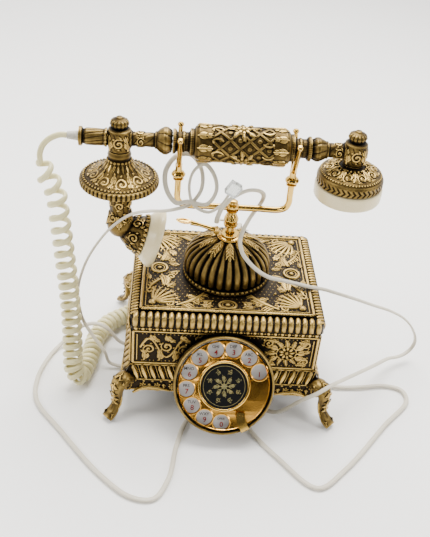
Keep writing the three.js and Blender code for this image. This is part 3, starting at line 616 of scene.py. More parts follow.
# A profile of (radius, height) turned about Z; move(angle, height, run) pushes the surface out
def turnedShape(profile, around=64, step=1.0, soft=False, move=None, into=None):
    shape = into or bmesh.new()
    spots = [Vector((r, 0, z)) for r, z in profile]
    line = smoothLine(spots, step) if soft else evenLine(spots, step)
    run, rings = 0.0, []
    for i, spot in enumerate(line):
        run += (spot - line[i - 1]).length if i else 0
        along = (line[min(i + 1, len(line) - 1)] - line[max(i - 1, 0)]).normalized()
        out = Vector((along.z, 0, -along.x))
        if spot.x < 0.05:
            rings.append([shape.verts.new((0, 0, spot.z))])
            continue
        ring = []
        for k in range(around):
            angle = tau * k / around
            push = move(angle, spot.z, run) if move else 0
            radius, height = spot.x + out.x * push, spot.z + out.z * push
            ring.append(shape.verts.new((radius * math.cos(angle), radius * math.sin(angle), height)))
        rings.append(ring)
    for first, second in zip(rings, rings[1:]):
        for k in range(around):
            corners = [first[k % len(first)], first[(k + 1) % len(first)],
                       second[(k + 1) % len(second)], second[k % len(second)]]
            corners = [c for i, c in enumerate(corners) if c not in corners[:i]]
            if len(corners) > 2:
                shape.faces.new(corners)
    return shape


def placed(shape, matrix):
    bmesh.ops.transform(shape, matrix=matrix, verts=shape.verts)
    return shape


# The other shape's mesh put into shape
def added(shape, other):
    held = bpy.data.meshes.new("held")
    other.to_mesh(held)
    other.free()
    shape.from_mesh(held)
    bpy.data.meshes.remove(held)
    return shape


def between(values, share):
    spot = min(max(share, 0), 1) * (len(values) - 1)
    i = min(int(spot), len(values) - 2)
    return values[i] + (values[i + 1] - values[i]) * (spot - i)


# A ridge along (u, v) points, half as wide as sizes say from end to end, laid where onto(u, v, h) puts it
def stroke(shape, onto, points, sizes, lift=0.0, rise=0.8, sides=6):
    spots = [onto(u, v, lift) for u, v in points]
    rings = []
    for i, spot in enumerate(spots):
        along = (spots[min(i + 1, len(spots) - 1)] - spots[max(i - 1, 0)]).normalized()
        up = (onto(*points[i], lift + 1) - spot).normalized()
        across = along.cross(up)
        half = between(sizes, i / (len(spots) - 1))
        rings.append([shape.verts.new(spot + half * (math.cos(a) * across + rise * math.sin(a) * up))
                      for a in (tau * k / sides for k in range(sides))])
    for first, second in zip(rings, rings[1:]):
        for k in range(sides):
            shape.faces.new((first[k], second[k], second[(k + 1) % sides], first[(k + 1) % sides]))
    shape.faces.new(rings[0])
    shape.faces.new(rings[-1][::-1])


# A low round boss: two rings and a crown
def bead(shape, onto, u, v, size, rise=0.8):
    middle = onto(u, v, 0)
    up = (onto(u, v, 1) - middle).normalized()
    across = up.orthogonal().normalized()
    aside = up.cross(across)
    rings = [[shape.verts.new(middle + size * (wide * (math.cos(a) * across + math.sin(a) * aside) + rise * tall * up))
              for a in (tau * k / 8 for k in range(8))] for wide, tall in ((1, -0.2), (0.92, 0.4), (0.55, 0.84))]
    crown = shape.verts.new(middle + size * rise * up)
    for first, second in zip(rings, rings[1:]):
        for k in range(8):
            shape.faces.new((first[k], first[(k + 1) % 8], second[(k + 1) % 8], second[k]))
    for k in range(8):
        shape.faces.new((rings[-1][k], rings[-1][(k + 1) % 8], crown))


# Points from the outer end of a scroll into its eye
def spiral(u, v, size, turns, angle, hand=1, count=18):
    return [(u + r * math.cos(a), v + r * math.sin(a)) for r, a in (
        (size * (1 - 0.86 * i / count), angle + hand * tau * turns * i / count) for i in range(count + 1))]


# Points of a bowed line from (u, v); curve is how far it turns, in radians
def bow(u, v, angle, length, curve, count=6):
    points = [(u, v)]
    for i in range(count):
        heading = angle + curve * (i + 0.5) / count
        u, v = u + math.cos(heading) * length / count, v + math.sin(heading) * length / count
        points.append((u, v))
    return points


# An acanthus leaf: a bowed rib with lobes that shorten towards its tip
def leaf(shape, onto, u, v, angle, length, curve, lobes=4, size=1.0, lift=0.2):
    rib = bow(u, v, angle, length, curve, 8)
    stroke(shape, onto, rib, [0.75 * size, 0.9 * size, 0.35 * size], lift + 0.5)
    for i in range(lobes):
        at_ = 1 + round(6 * i / lobes)
        heading = angle + curve * at_ / 8
        reach = length * (0.46 - 0.28 * i / lobes)
        for hand in (-1, 1):
            stroke(shape, onto, bow(*rib[at_], heading + hand * 0.95, reach, -hand * 0.75, 4),
                   [0.55 * size, 1.15 * size, 0.75 * size, 0.15 * size], lift)


def rosette(shape, onto, u, v, size, petals=8, turn=0.0):
    for k in range(petals):
        angle = turn + tau * k / petals
        stroke(shape, onto, bow(u + 0.3 * size * math.cos(angle), v + 0.3 * size * math.sin(angle), angle,
                                0.68 * size, 0.35, 4), [0.1 * size, 0.23 * size, 0.2 * size, 0.05 * size], 0.1)
    bead(shape, onto, u, v, 0.3 * size)


# A volute with leaf lobes standing off its back
def scroll(shape, onto, u, v, size, angle, hand, leaves=4, thick=0.9):
    coil = spiral(u, v, size, 1.45, angle, hand)
    stroke(shape, onto, coil, [0.4 * thick, thick, thick, 0.7 * thick], 0.3)
    bead(shape, onto, u, v, 0.24 * size)
    for k in range(leaves):
        turnTo = angle + hand * (0.35 + 1.15 * k)
        start = (u + 0.98 * size * math.cos(turnTo), v + 0.98 * size * math.sin(turnTo))
        stroke(shape, onto, bow(*start, turnTo + hand * 0.55, size * (0.62 - 0.07 * k), hand * 1.1, 4),
               [0.5 * thick, 1.1 * thick, 0.7 * thick, 0.12], 0.1)


# A waving stem with a volute in each hollow
def vine(shape, onto, start, end, waves, swing, thick=0.85, hand=1):
    head, tail = Vector(start), Vector(end)
    run = tail - head
    across = Vector((-run.y, run.x)).normalized() * swing * hand
    points = [tuple(head + run * t + across * 0.75 * math.sin(math.pi * waves * t))
              for t in (i / (waves * 6) for i in range(waves * 6 + 1))]
    stroke(shape, onto, points, [thick * 0.9, thick, thick * 0.7], 0.15)
    heading = math.atan2(run.y, run.x)
    for k in range(waves):
        side = hand * (1 if k % 2 == 0 else -1)
        spot = head + run * (k + 0.5) / waves - across * (1 if k % 2 == 0 else -1) * 0.12
        size = min(swing, run.length / waves * 0.5) * 0.72
        scroll(shape, onto, spot.x, spot.y, size, heading - side * 2.2, -side, 4, thick)


def beadRow(shape, onto, start, end, count, size):
    for i in range(count):
        t = (i + 0.5) / count
        bead(shape, onto, start[0] + (end[0] - start[0]) * t, start[1] + (end[1] - start[1]) * t, size)


def plainRun(shape, onto, start, end, half, lift=0.2, count=2):
    points = [(start[0] + (end[0] - start[0]) * i / count, start[1] + (end[1] - start[1]) * i / count)
              for i in range(count + 1)]
    stroke(shape, onto, points, [half, half], lift, 0.7)


# 0 in a groove, 1 on a crest, with round crests and narrow grooves
def wave(value):
    return abs(math.sin(value / 2)) ** 0.6


def ramp(value, start, stop):
    t = min(max((value - start) / (stop - start), 0), 1)
    return t * t * (3 - 2 * t)


# ---- casing
casing = {"dotPitch": 3.9, "lidX": 79, "lidY": 65, "lidLow": 88.6, "lidRim": 99, "lidTop": 101.5, "panelX": 71.5,
        "panelY": 57.5,
          "bodyX": 77.5, "bodyY": 63.5, "bodyLow": 48.7, "bodyTop": 88.3}


# Onto-function for one upright side: u along it, v up, the halves given as functions of height
def sideOf(k, halfX, halfY):
    turnedOne = Matrix.Rotation(k * math.pi / 2, 3, "Z")
    half = halfX if k % 2 else halfY
    return lambda u, v, h: turnedOne @ Vector((u, -half(v) - h, v))


def lidFace(u, v, h):
    return Vector((u, v, casing["lidTop"] + h))


# A crescent spine with barbs standing off its inner side and a curled head
def plume(shape, onto, u, v, angle, length, curve, hand, barbs=9, thick=1.2):
    spine = bow(u, v, angle, length, curve, 16)
    stroke(shape, onto, spine, [thick * 0.5, thick * 1.3, thick * 1.5, thick, thick * 0.5], 0.5)
    heading = angle + curve
    scroll(shape, onto, spine[-1][0] - hand * 2.2 * math.sin(heading), spine[-1][1] + hand * 2.2 * math.cos(heading),
           2.4, heading - hand * math.pi / 2, hand, 2, thick * 0.6)
    for k in range(barbs):
        place = 2 + round(12 * k / barbs)
        lean = angle + curve * place / 16 + hand * 0.8
        stroke(shape, onto, bow(*spine[place], lean, length * (0.3 - 0.015 * k), hand * 0.55, 4),
               [thick * 0.5, thick * 0.95, thick * 0.7, 0.15], 0.2)


def lidRelief():
    shape = bmesh.new()
    beadX, beadY = casing["panelX"] - 1.6, casing["panelY"] - 1.6
    for sx in (-1, 1):
        plainRun(shape, lidFace, (sx * beadX, -beadY), (sx * beadX, beadY), 1.3)
        plainRun(shape, lidFace, (sx * (beadX - 3), -beadY + 3), (sx * (beadX - 3), beadY - 3), 0.45)
        for sy in (-1, 1):
            hand = sx * sy
            inward = math.atan2(-sy, -sx)
            corner = (sx * 63, sy * 49.5)
            # Acanthus fan in the corner, plumes along both edges, and filling leaves
            for k in range(-3, 4):
                stroke(shape, lidFace, bow(corner[0] - sx * 3, corner[1] - sy * 3, inward + 0.36 * k,
                        22 - 1.6 * abs(k), -0.2 * k, 8),
                       [0.5, 1.5, 1.7, 1.4, 0.3], 0.3)
                for lobeHand in (-1, 1):
                    for j in range(3):
                        start = bow(corner[0] - sx * 3, corner[1] - sy * 3, inward + 0.36 * k, 9 + 4.5 * j, -0.2 * k,
                                4)[-1]
                        stroke(shape, lidFace, bow(*start, inward + 0.36 * k + lobeHand * 0.75, 4.2, -lobeHand * 0.6,
                                3),
                               [0.4, 0.75, 0.15], 0.1)
            bead(shape, lidFace, corner[0] - sx * 1.5, corner[1] - sy * 1.5, 3.4)
            plume(shape, lidFace, sx * 42, sy * 50.5, math.atan2(-0.34 * sy, -sx), 33, 0.75 * hand, -hand, 10, 1.15)
            plume(shape, lidFace, sx * 64.5, sy * 30, math.atan2(-sy, -0.3 * sx), 19, -0.7 * hand, hand, 7, 1.0)
            scroll(shape, lidFace, sx * 47.5, sy * 49, 4.6, math.pi * (0.5 - 0.5 * sx), -hand, 5, 0.95)
            scroll(shape, lidFace, sx * 63.5, sy * 33, 4.4, math.pi * 0.5 * sy, hand, 5, 0.95)
            leaf(shape, lidFace, sx * 55, sy * 10, math.atan2(sy, -0.7 * sx), 17, -0.9 * hand, 6, 1.1)
            leaf(shape, lidFace, sx * 50, sy * 27, math.atan2(-0.6 * sy, -sx), 11, 0.7 * hand, 4, 0.95)
            leaf(shape, lidFace, sx * 34, sy * 38, math.atan2(0.1 * sy, -sx), 13, -0.5 * hand, 5, 0.95)
            leaf(shape, lidFace, sx * 66, sy * 9, math.pi * 0.5 * sy, 9, 0.4 * hand, 4, 0.85)
            bead(shape, lidFace, sx * 40.5, sy * 29.5, 1.3)
            bead(shape, lidFace, sx * 46, sy * 20, 1.2)
            scroll(shape, lidFace, sx * 46.5, sy * 12.5, 3.7, math.pi * 0.5 * sy, -hand, 4, 0.85)
            scroll(shape, lidFace, sx * 25, sy * 45.5, 3.5, math.pi * (0.5 + 0.5 * sx), hand, 4, 0.85)
            leaf(shape, lidFace, sx * 12, sy * 51, math.atan2(-0.5 * sy, sx), 11, 0.6 * hand, 4, 0.85)
            leaf(shape, lidFace, sx * 12, sy * 43.5, math.atan2(0.35 * sy, sx), 10, -0.5 * hand, 4, 0.8)
            leaf(shape, lidFace, sx * 40, sy * 4.5, math.atan2(0.5 * sy, sx), 10, -0.5 * hand, 4, 0.8)
        ringAt(shape, lidFace, sx * 57, 0, 6.4, 6.4, 1.25)
        ringAt(shape, lidFace, sx * 57, 0, 4.2, 4.2, 0.5)
        bead(shape, lidFace, sx * 57, 0, 2.2)
    for sy in (-1, 1):
        plainRun(shape, lidFace, (-beadX, sy * beadY), (beadX, sy * beadY), 1.3)
        plainRun(shape, lidFace, (-beadX + 3, sy * (beadY - 3)), (beadX - 3, sy * (beadY - 3)), 0.45)
        ringAt(shape, lidFace, 0, sy * 47.6, 7, 4.9, 1.1)
        ringAt(shape, lidFace, 0, sy * 47.6, 4.6, 3.1, 0.45)
        bead(shape, lidFace, 0, sy * 47.6, 2.2)
    # Punched dots over the ground that the dome leaves free
    pitch = casing["dotPitch"]
    for row in range(-14, 15):
        for column in range(-18, 19):
            u, v = (column + 0.5 * (row % 2)) * pitch, row * pitch
            if math.hypot(u, v) > 38.5 and abs(u) < beadX - 4.5 and abs(v) < beadY - 4.5:
                bead(shape, lidFace, u, v, 0.55, 0.6)
    return shape


def ringAt(shape, onto, u, v, wide, tall, thick):
    stroke(shape, onto, [(u + wide * math.cos(tau * i / 28), v + tall * math.sin(tau * i / 28)) for i in range(29)],
           [thick, thick], 0.35)


# U along one side, v from 0 on top beside the panel over the round edge to 1 at the lid's foot
def rimFace(k):
    turnedOne = Matrix.Rotation(k * math.pi / 2, 3, "Z")
    half = casing["lidY"] if k % 2 == 0 else casing["lidX"]
    section = [(-6.6, 99.4), (-3.4, 99.3), (-1, 98.2), (-0.1, 95.6), (0, 92.4), (-0.2, 89.4)]

    def onto(u, v, h):
        spot = [between([p[i] for p in section], v) for i in (0, 1)]
        lean = between([0.05, 0.3, 0.8, 1, 1, 0.95], v)
        rise = math.sqrt(max(0, 1 - lean * lean))
        return turnedOne @ Vector((u, -(half + spot[0] + h * lean), spot[1] + h * rise))
    return onto


# Round ribs over the lid's edge and pointed drops under them
def rimRelief():
    shape = bmesh.new()
    pitch_ = 5.6
    for k in range(4):
        half = casing["lidX"] if k % 2 == 0 else casing["lidY"]
        edge, face = rimFace(k), sideOf(k, lambda v: casing["lidX"], lambda v: casing["lidY"])
        count = round((2 * half - 5) / pitch_)
        count = count if k % 2 == 0 else round(count * 1.5)
        lean = 0 if k % 2 == 0 else 2.6
        thick = 2.35 if k % 2 == 0 else 1.6
        for i in range(count):
            u = -half + 2.5 + (2 * half - 5) * (i + 0.5) / count
            stroke(shape, edge, [(u + lean * (2 * v - 1), v) for v in (0.0, 0.14, 0.3, 0.45, 0.6, 0.75, 0.9, 1.0)],
                   [thick * 0.7, thick, thick * 1.04, thick * 1.05, thick * 1.04, thick, thick,
                           thick * 0.55], 0.1, 0.75, 8)
        for i in range(round((2 * half - 6) / 5.6)):
            u = -half + 3 + (2 * half - 6) * (i + 0.5) / round((2 * half - 6) / 5.6)
            stroke(shape, face, [(u, 88.6), (u, 87), (u, 84.8)], [1.7, 1.9, 0.2], -0.6, 0.7)
            bead(shape, face, u + pitch_ / 2, 87.8, 0.9)
    return shape


def bodyRelief():
    shape = bmesh.new()
    for k in range(4):
        halfWide = casing["bodyX"] if k % 2 == 0 else casing["bodyY"]
        face = sideOf(k, lambda v: casing["bodyX"], lambda v: casing["bodyY"])
        lowEnd, highEnd = casing["bodyLow"] + 1.6, casing["bodyTop"] - 4.4
        for level_ in (lowEnd, highEnd):
            plainRun(shape, face, (-halfWide + 2, level_), (halfWide - 2, level_), 0.95)
        for side in (-1, 1):
            plainRun(shape, face, (side * (halfWide - 2.2), lowEnd), (side * (halfWide - 2.2), highEnd), 1.15)
            plainRun(shape, face, (side * (halfWide - 5.2), lowEnd + 3), (side * (halfWide - 5.2), highEnd - 3), 0.5)
        middle = (lowEnd + highEnd) / 2
        reach = halfWide - 8
        if k == 0:
            # Scrolling vine with leaves on the left, a broad flower among leaves on the right
            vine(shape, face, (-reach, middle), (-26, middle), 3, 13, 1.15)
            for j in range(4):
                u = -reach + 3 + 12.5 * j
                leaf(shape, face, u, lowEnd + 3.5, math.pi / 2 - 0.4, 12, 0.9, 5, 1.1)
                leaf(shape, face, u + 5, highEnd - 3, -math.pi / 2 + 0.4, 11, 0.9, 5, 1.05)
            rosette(shape, face, 51, middle, 7.5, 9)
            ringAt(shape, face, 51, middle, 8.2, 7.4, 0.7)
            for j in range(12):
                angle = tau * j / 12
                leaf(shape, face, 51 + 8 * math.cos(angle), middle + 7 * math.sin(angle), angle, 12 if j % 6 in (0,
                        1, 5) else 7.5,
                     0.5, 5, 1.15)
            for side in (-1, 1):
                scroll(shape, face, 67, middle + side * 9.4, 4.4, side * 1.2, side, 5, 1)
                scroll(shape, face, 35.5, middle + side * 10, 4.6, math.pi + side, -side, 5, 1)
                leaf(shape, face, 60, middle + side * 12.5, -side * 0.3, 9, side * 0.6, 4, 0.95)
                leaf(shape, face, 43, middle + side * 13, math.pi + side * 0.3, 9, -side * 0.6, 4, 0.95)
        elif k == 2:
            vine(shape, face, (-reach, middle), (reach, middle), 7, 13, 1.15)
            for j in range(14):
                u = -reach + 2 * reach * (j + 0.5) / 14
                leaf(shape, face, u, lowEnd + 3, math.pi / 2, 8, 0.7, 4, 0.9)
                leaf(shape, face, u, highEnd - 3, -math.pi / 2, 8, 0.7, 4, 0.9)
        else:
            count = 13
            for j in range(count):
                u = -reach + 2 * reach * (j + 0.5) / count
                slant = 0.62 if j % 2 == 0 else -0.62
                leaf(shape, face, u - 3.5 * slant, lowEnd + 3, math.pi / 2 - slant * 0.5, 14.5, slant * 0.7, 6, 1.15)
                leaf(shape, face, u + 3.5 * slant, highEnd - 3, -math.pi / 2 + slant * 0.5, 14.5, slant * 0.7, 6, 1.15)
                bead(shape, face, u, middle, 1.7)
        beadRow(shape, face, (-reach, lowEnd + 2.6), (reach, lowEnd + 2.6), round(reach / 1.6), 0.75)
        beadRow(shape, face, (-reach, highEnd - 2.4), (reach, highEnd - 2.4), round(reach / 1.6), 0.75)
    return shape


# Half size of the skirt at height v
def skirtHalf(v, longWay):
    wide = between([84.5, 84.4, 84, 83.4, 82, 80.2, 78.4, 77.5], (v - 24) / 24.4)
    return wide if longWay else wide * 0.8194


def skirtRelief():
    shape = bmesh.new()
    for k in range(4):
        face = sideOf(k, lambda v: skirtHalf(v, True), lambda v: skirtHalf(v, False))
        wide = 76.5 if k % 2 == 0 else 62
        count = round(2 * wide / 7.3)
        for j in range(count):
            u = -wide + 2 * wide * (j + 0.5) / count
            lean = 2.0 if u < 0 else -2.0
            stroke(shape, face, [(u - lean, 47.8), (u - lean * 0.8, 45.4), (u, 41.8), (u + lean * 0.8, 38.2),
                    (u + lean, 36.2)],
                   [1.0, 2.3, 2.6, 1.9, 0.5], 0.5, 0.9)
            stroke(shape, face, [(u + 3.6 - lean, 47.4), (u + 3.65, 42), (u + 3.6 + lean, 37)], [0.3, 0.7, 0.3], 0.3)
            bead(shape, face, u, 34.1, 1.25)
        for j in range(round(count * 0.55)):
            u = -wide + 4 + (2 * wide - 8) * (j + 0.5) / round(count * 0.55)
            rosette(shape, face, u, 29.6, 3.1, 6, 0.3)
            leaf(shape, face, u + 5.6, 31.6, -math.pi / 2, 6, 0, 2, 0.7)
            stroke(shape, face, bow(u - 5, 26.6, -0.75, 10.4, 1.5, 6), [0.8, 0.9, 0.8], 0.35)
        for side in (-1, 1):
            stroke(shape, face, [(side * (wide + p), z) for p, z in ((-2, 21.5), (-7, 25.6), (-15, 28), (-24, 26.8),
                    (-33, 24.6))],
                   [1.2, 2, 1.8, 1.5, 0.8], 0.6)
            scroll(shape, face, side * (wide - 35.5), 26.6, 2.6, 0 if side > 0 else math.pi, side, 3, 0.7)
        plainRun(shape, face, (-wide - 1, 48.1), (wide + 1, 48.1), 0.8, 0.2)
        plainRun(shape, face, (-wide - 4, 35.4), (wide + 4, 35.4), 0.6, 0.1)
        plainRun(shape, face, (-wide - 6, 24.9), (wide + 6, 24.9), 0.9, 0.1)
    return shape


for name, make in (("lidRelief", lidRelief), ("rimRelief", rimRelief), ("bodyRelief", bodyRelief),
                   ("skirtRelief", skirtRelief)):
    finished(make(), name, "base", "antique_brass", antiqueBrass, (), 50)
print("casing relief laid")


# Legs: a carved knee with volutes, a slim shank and a flared foot, out along each corner
legs = {"x": 80, "y": 67, "knee": 40.5}
legLine = [(-3, 36), (3.5, 37), (8.6, 34), (10.4, 28.5), (9.8, 22), (10.4, 15.5), (13.6, 9.4), (18.4, 5), (22, 3)]
legDepth = [4.6, 5.4, 5.6, 4.8, 4, 3.5, 3.2, 3.2, 2.7]
legWidth = [6.5, 7.4, 7.4, 6.2, 5, 4.6, 4.8, 5.8, 5.4]


# One leg in its own plane: X outward, Z up
def legShape():
    shape = bmesh.new()
    line = smoothLine([Vector((d, 0, z)) for d, z in legLine], 1.2)
    rings = []
    for i, spot in enumerate(line):
        share = i / (len(line) - 1)
        along = (line[min(i + 1, len(line) - 1)] - line[max(i - 1, 0)]).normalized()
        out = Vector((along.z, 0, -along.x)) * -1
        deep, wide = between(legDepth, share), between(legWidth, share)
        ring = []
        for k in range(28):
            a = tau * k / 28
            flute = 1 - 0.1 * (1 - wave(5 * a)) if 0.06 < share < 0.86 else 1
            p = spot + flute * (deep * math.cos(a) * out + wide * math.sin(a) * Vector((0, 1, 0)))
            p.z = max(p.z, 0.15)
            ring.append(shape.verts.new(p))
        rings.append(ring)
    for first, second in zip(rings, rings[1:]):
        for k in range(28):
            shape.faces.new((first[k], second[k], second[(k + 1) % 28], first[(k + 1) % 28]))
    shape.faces.new(rings[0])
    shape.faces.new(rings[-1][::-1])

    def flank(hand):
        return lambda u, v, h: Vector((u, hand * (6 + h), v))
    for hand in (-1, 1):
        scroll(shape, flank(hand), 4.6, 33, 5.4, 0.3, 1, 4, 1.1)
        scroll(shape, flank(hand * 0.72), 18.6, 5.2, 2.6, 2.8, -1, 2, 0.7)
        stroke(shape, flank(hand * 0.72), [(9.6, 26), (9.2, 20), (10.4, 14), (14, 8.6)], [0.7, 1, 0.9, 0.5], 0.2)

    def brow(u, v, h):
        share = min(max(v, 0), 1)
        spot = line[round(share * (len(line) - 1))]
        j = round(share * (len(line) - 1))
        along = (line[min(j + 1, len(line) - 1)] - line[max(j - 1, 0)]).normalized()
        out = Vector((-along.z, 0, along.x))
        return spot + out * (between(legDepth, share) * math.sqrt(max(0.05, 1 - (u / 9) ** 2)) + h) + Vector((0, u, 0))
    stroke(shape, brow, [(0, 0.14), (0, 0.3), (0, 0.5), (0, 0.72)], [0.7, 1.3, 1.1, 0.4], 0.3)
    for i in range(5):
        for hand in (-1, 1):
            v = 0.16 + 0.11 * i
            stroke(shape, brow, [(0, v), (hand * 2.6, v + 0.05), (hand * 4.6, v + 0.03)], [0.6, 1.3, 0.3], 0.3)
    bmesh.ops.recalc_face_normals(shape, faces=shape.faces)
    return shape


for corner, sx, sy in (("front_left", -1, -1), ("front_right", 1, -1), ("rear_right", 1, 1), ("rear_left", -1, 1)):
    stand = Matrix.Translation((sx * legs["x"], sy * legs["y"], 0)) @ Matrix.Rotation(math.atan2(sy, sx), 4, "Z")
    side, end = corner.split("_")
    finished(placed(legShape(), stand), "leg" + side.title() + end.title(), "base", "antique_brass", antiqueBrass,
             ("leg_" + corner,), 45)
print("legs carved")

# Dome: bulging flutes that close up under the post collar
dome = {"flutes": 30, "profile": [(35.2, 106.1), (36.4, 111), (36.2, 117), (33.4, 123.6), (27.8, 129.1), (19.8, 133.7),
                                  (12, 136.3), (10.2, 137.1)]}


def flutes(angle, z, run):
    bulge = abs(math.sin(dome["flutes"] * angle / 2)) ** 0.85
    return -2.7 * (1 - bulge) * ramp(run, 0.5, 4) * (1 - 0.6 * ramp(run, 30, 42))


domeShape = turnedShape([(30, 106.1)] + dome["profile"] + [(7, 137.2)], 360, 0.8, True, flutes)
domeLine = evenLine([Vector((r, 0, z)) for r, z in dome["profile"]], 1)


# U is an angle, v runs down from the collar in mm
def onDome(u, v, h):
    i = min(max(len(domeLine) - 1 - v, 0), len(domeLine) - 1.001)
    spot = domeLine[int(i)].lerp(domeLine[int(i) + 1], i - int(i))
    slope = (domeLine[min(int(i) + 2, len(domeLine) - 1)] - domeLine[max(int(i) - 1, 0)]).normalized()
    radius, height = spot.x + slope.z * h, spot.z - slope.x * h
    return Vector((radius * math.cos(u), radius * math.sin(u), height))


for k in range(10):
    angle = tau * (k + 0.5) / 10
    stroke(domeShape, onDome, [(angle, 0.5), (angle, 5), (angle, 10), (angle, 14), (angle, 17.5)], [1.4, 3.3, 3.4,
            2.2, 0.3], 0.2, 0.45)
    stroke(domeShape, onDome, [(angle, 1), (angle, 8), (angle, 16)], [0.5, 0.6, 0.3], 1.9, 0.6)
    for hand in (-1, 1):
        for j in range(4):
            stroke(domeShape, onDome, [(angle, 3 + 3 * j), (angle + hand * 0.1, 5 + 3 * j),
                    (angle + hand * (0.17 - 0.015 * j), 7.5 + 3 * j)],
                   [0.4, 0.75, 0.2], 1.5, 0.6)
finished(domeShape, "domeFluted", "base", "antique_brass", antiqueBrass, ("dome",), 60)

ringShape = turnedShape([(30, 101.9), (37.1, 101.9), (37.1, 103.2), (36.2, 104), (36.6, 105.8), (30, 105.8)], 180, 0.8)
for k in range(56):
    angle = tau * k / 56
    bead(ringShape, lambda u, v, h: Vector(((36.4 + h) * math.cos(u), (36.4 + h) * math.sin(u), v)), angle, 104,
            1.75, 0.5)
finished(ringShape, "domeBeadRing", "base", "antique_brass", antiqueBrass, ("dome_ring",), 50)
print("dome turned")

# ---- post, cradle and spoon lever
def tubeAlong(points, sizes, step=1.0, sides=20, side=Vector((0, 1, 0))):
    line = smoothLine(points, step)
    shape = hoseAlong(line, oval(1, 1, sides), side)
    shape.verts.ensure_lookup_table()
    for i, spot in enumerate(line):
        size = between(sizes, i / (len(line) - 1))
        for vert in shape.verts[i * sides:(i + 1) * sides]:
            vert.co = spot + (vert.co - spot) * size
    return shape


cradle = {"arm": 45.4, "armTop": 188.8, "barZ": 166, "bar": 2.6, "forkZ": 200.1, "forkTop": 231.5, "forkY": 15}


def twist(angle, z, run):
    return 0.55 * (wave(10 * angle + 0.9 * z) - 0.5) * ramp(z, 149.5, 151) * (1 - ramp(z, 160.5, 162))


finished(turnedShape([(3.2, 60.3), (3.2, 148.2), (5.6, 149), (5.9, 150.4), (4.3, 151.4), (5.2, 153), (6, 155.2),
        (4.6, 158.6),
                      (3.6, 160.6), (3.4, 162), (5, 162.8), (5.2, 163.8), (3.4, 164.6), (2,
                              164.9)], 80, 0.5, False, twist),
         "cradlePost", "cradle", "polished_brass", polishedBrass, ("cradle_post",), 60)
arm, bend = cradle["arm"], 7
bar = [(-arm, 0, cradle["armTop"]), (-arm, 0, 180), (-arm, 0, cradle["barZ"] + bend), (-arm + 2, 0,
        cradle["barZ"] + 2.4),
       (-arm + bend, 0, cradle["barZ"]), (-20, 0, cradle["barZ"]), (0, 0, cradle["barZ"])]
bar += [(-x, y, z) for x, y, z in bar[-2::-1]]
yoke = tubeAlong(bar, [cradle["bar"]] * 2)
added(yoke, turnedShape([(0, 164.2), (3, 164.4), (5.2, 166), (5.3, 168.4), (3.2, 170), (4.4, 171.2), (3, 172.6), (0,
        173.2)],
                        40, 0.4, True))
finished(yoke, "cradleYoke", "cradle", "polished_brass", polishedBrass, ("cradle_yoke",), 60)
for side, name in ((-1, "Left"), (1, "Right")):
    knob = turnedShape([(0, 189.1), (3, 189.2), (4.3, 189.9), (4.3, 190.6), (3.1, 191.2), (4.6, 192.1), (5.6, 193.6),
            (5.6, 194.6),
                        (4.4, 196.2), (3, 196.9), (2.7, 199), (2.8, 203), (1.6, 205), (0, 205.6)], 48, 0.4)
    placed(knob, Matrix.Translation((side * arm, 0, 0)))
    for end in (-1, 1):
        prong = [(side * arm, end * 0.6, 202), (side * arm, end * 5, 209.5), (side * arm, end * 10, 220.5),
                 (side * arm, end * cradle["forkY"], cradle["forkTop"])]
        added(knob, tubeAlong(prong, [2.3, 2.2, 2, 1.5], 1, 16, Vector((1, 0, 0))))
    for end in (-1, 1):
        tip = turnedShape([(0, 0), (1.7, 0.3), (2.5, 1.4), (2.5, 2.2), (1.6, 3.4), (0, 3.9)], 20, 0.4, True)
        added(knob, placed(tip, Matrix.Translation((side * arm, end * cradle["forkY"], cradle["forkTop"] - 3.4))))
    finished(knob, "fork" + name, "cradle", "polished_brass", polishedBrass, ("fork_" + name.lower(),), 60)
spoon = tubeAlong([(-10.6, 0, 143), (-16, 0, 144.6), (-24, 0, 147), (-33, 0, 149.2)], [2.1, 1.8, 1.6, 2.2], 0.8, 16)
bowl = turnedShape([(0, -0.9), (3, -0.7), (6, 0.4), (6.6, 1), (6, 1.1), (3, 0), (0, -0.2)], 40, 0.4, True)
added(spoon, placed(bowl, Matrix.Translation((-38.6, 0, 149.6)) @ Matrix.Rotation(0.12, 4, "Y") @ Matrix.Diagonal(
    (1.05, 0.62, 1, 1))))
finished(spoon, "spoonLever", "spoon_lever", "polished_brass", polishedBrass, ("spoon_lever",), 60)
print("cradle bent")

# ---- handset, turned about its own long axis
handset = {"z": 222.5, "grip": (-35, 40), "radius": 14.6, "mouth": -92, "ear": 91.4}
lengthwise = Matrix.Translation((0, 0, handset["z"])) @ Matrix.Rotation(math.pi / 2, 4, "Y")


def across(x, z=0):
    return Matrix.Translation((x, 0, z))


# U runs along the handset, v round it, both in mm
def onGrip(u, v, h):
    angle = v / handset["radius"]
    edge = min(u - handset["grip"][0], handset["grip"][1] - u)
    radius = 14.1 - 3.4 * (1 - ramp(edge, 0, 4)) + h
    return Vector((u, radius * math.sin(angle), handset["z"] + radius * math.cos(angle)))


# Crossed ribs with a small boss in each diamond, between the leafed ends
def lattice(angle, x, run):
    first, second = 7 * angle + 0.42 * x, 7 * angle - 0.42 * x
    rib = max(abs(math.cos(first / 2)), abs(math.cos(second / 2)))
    boss = abs(math.sin(first / 2) * math.sin(second / 2))
    height = 0.9 * ramp(rib, 0.9, 0.985) + 0.75 * ramp(boss, 0.72, 0.97)
    inside = ramp(x, -22, -20) * (1 - ramp(x, 25, 27))
    return (height - 0.45) * inside


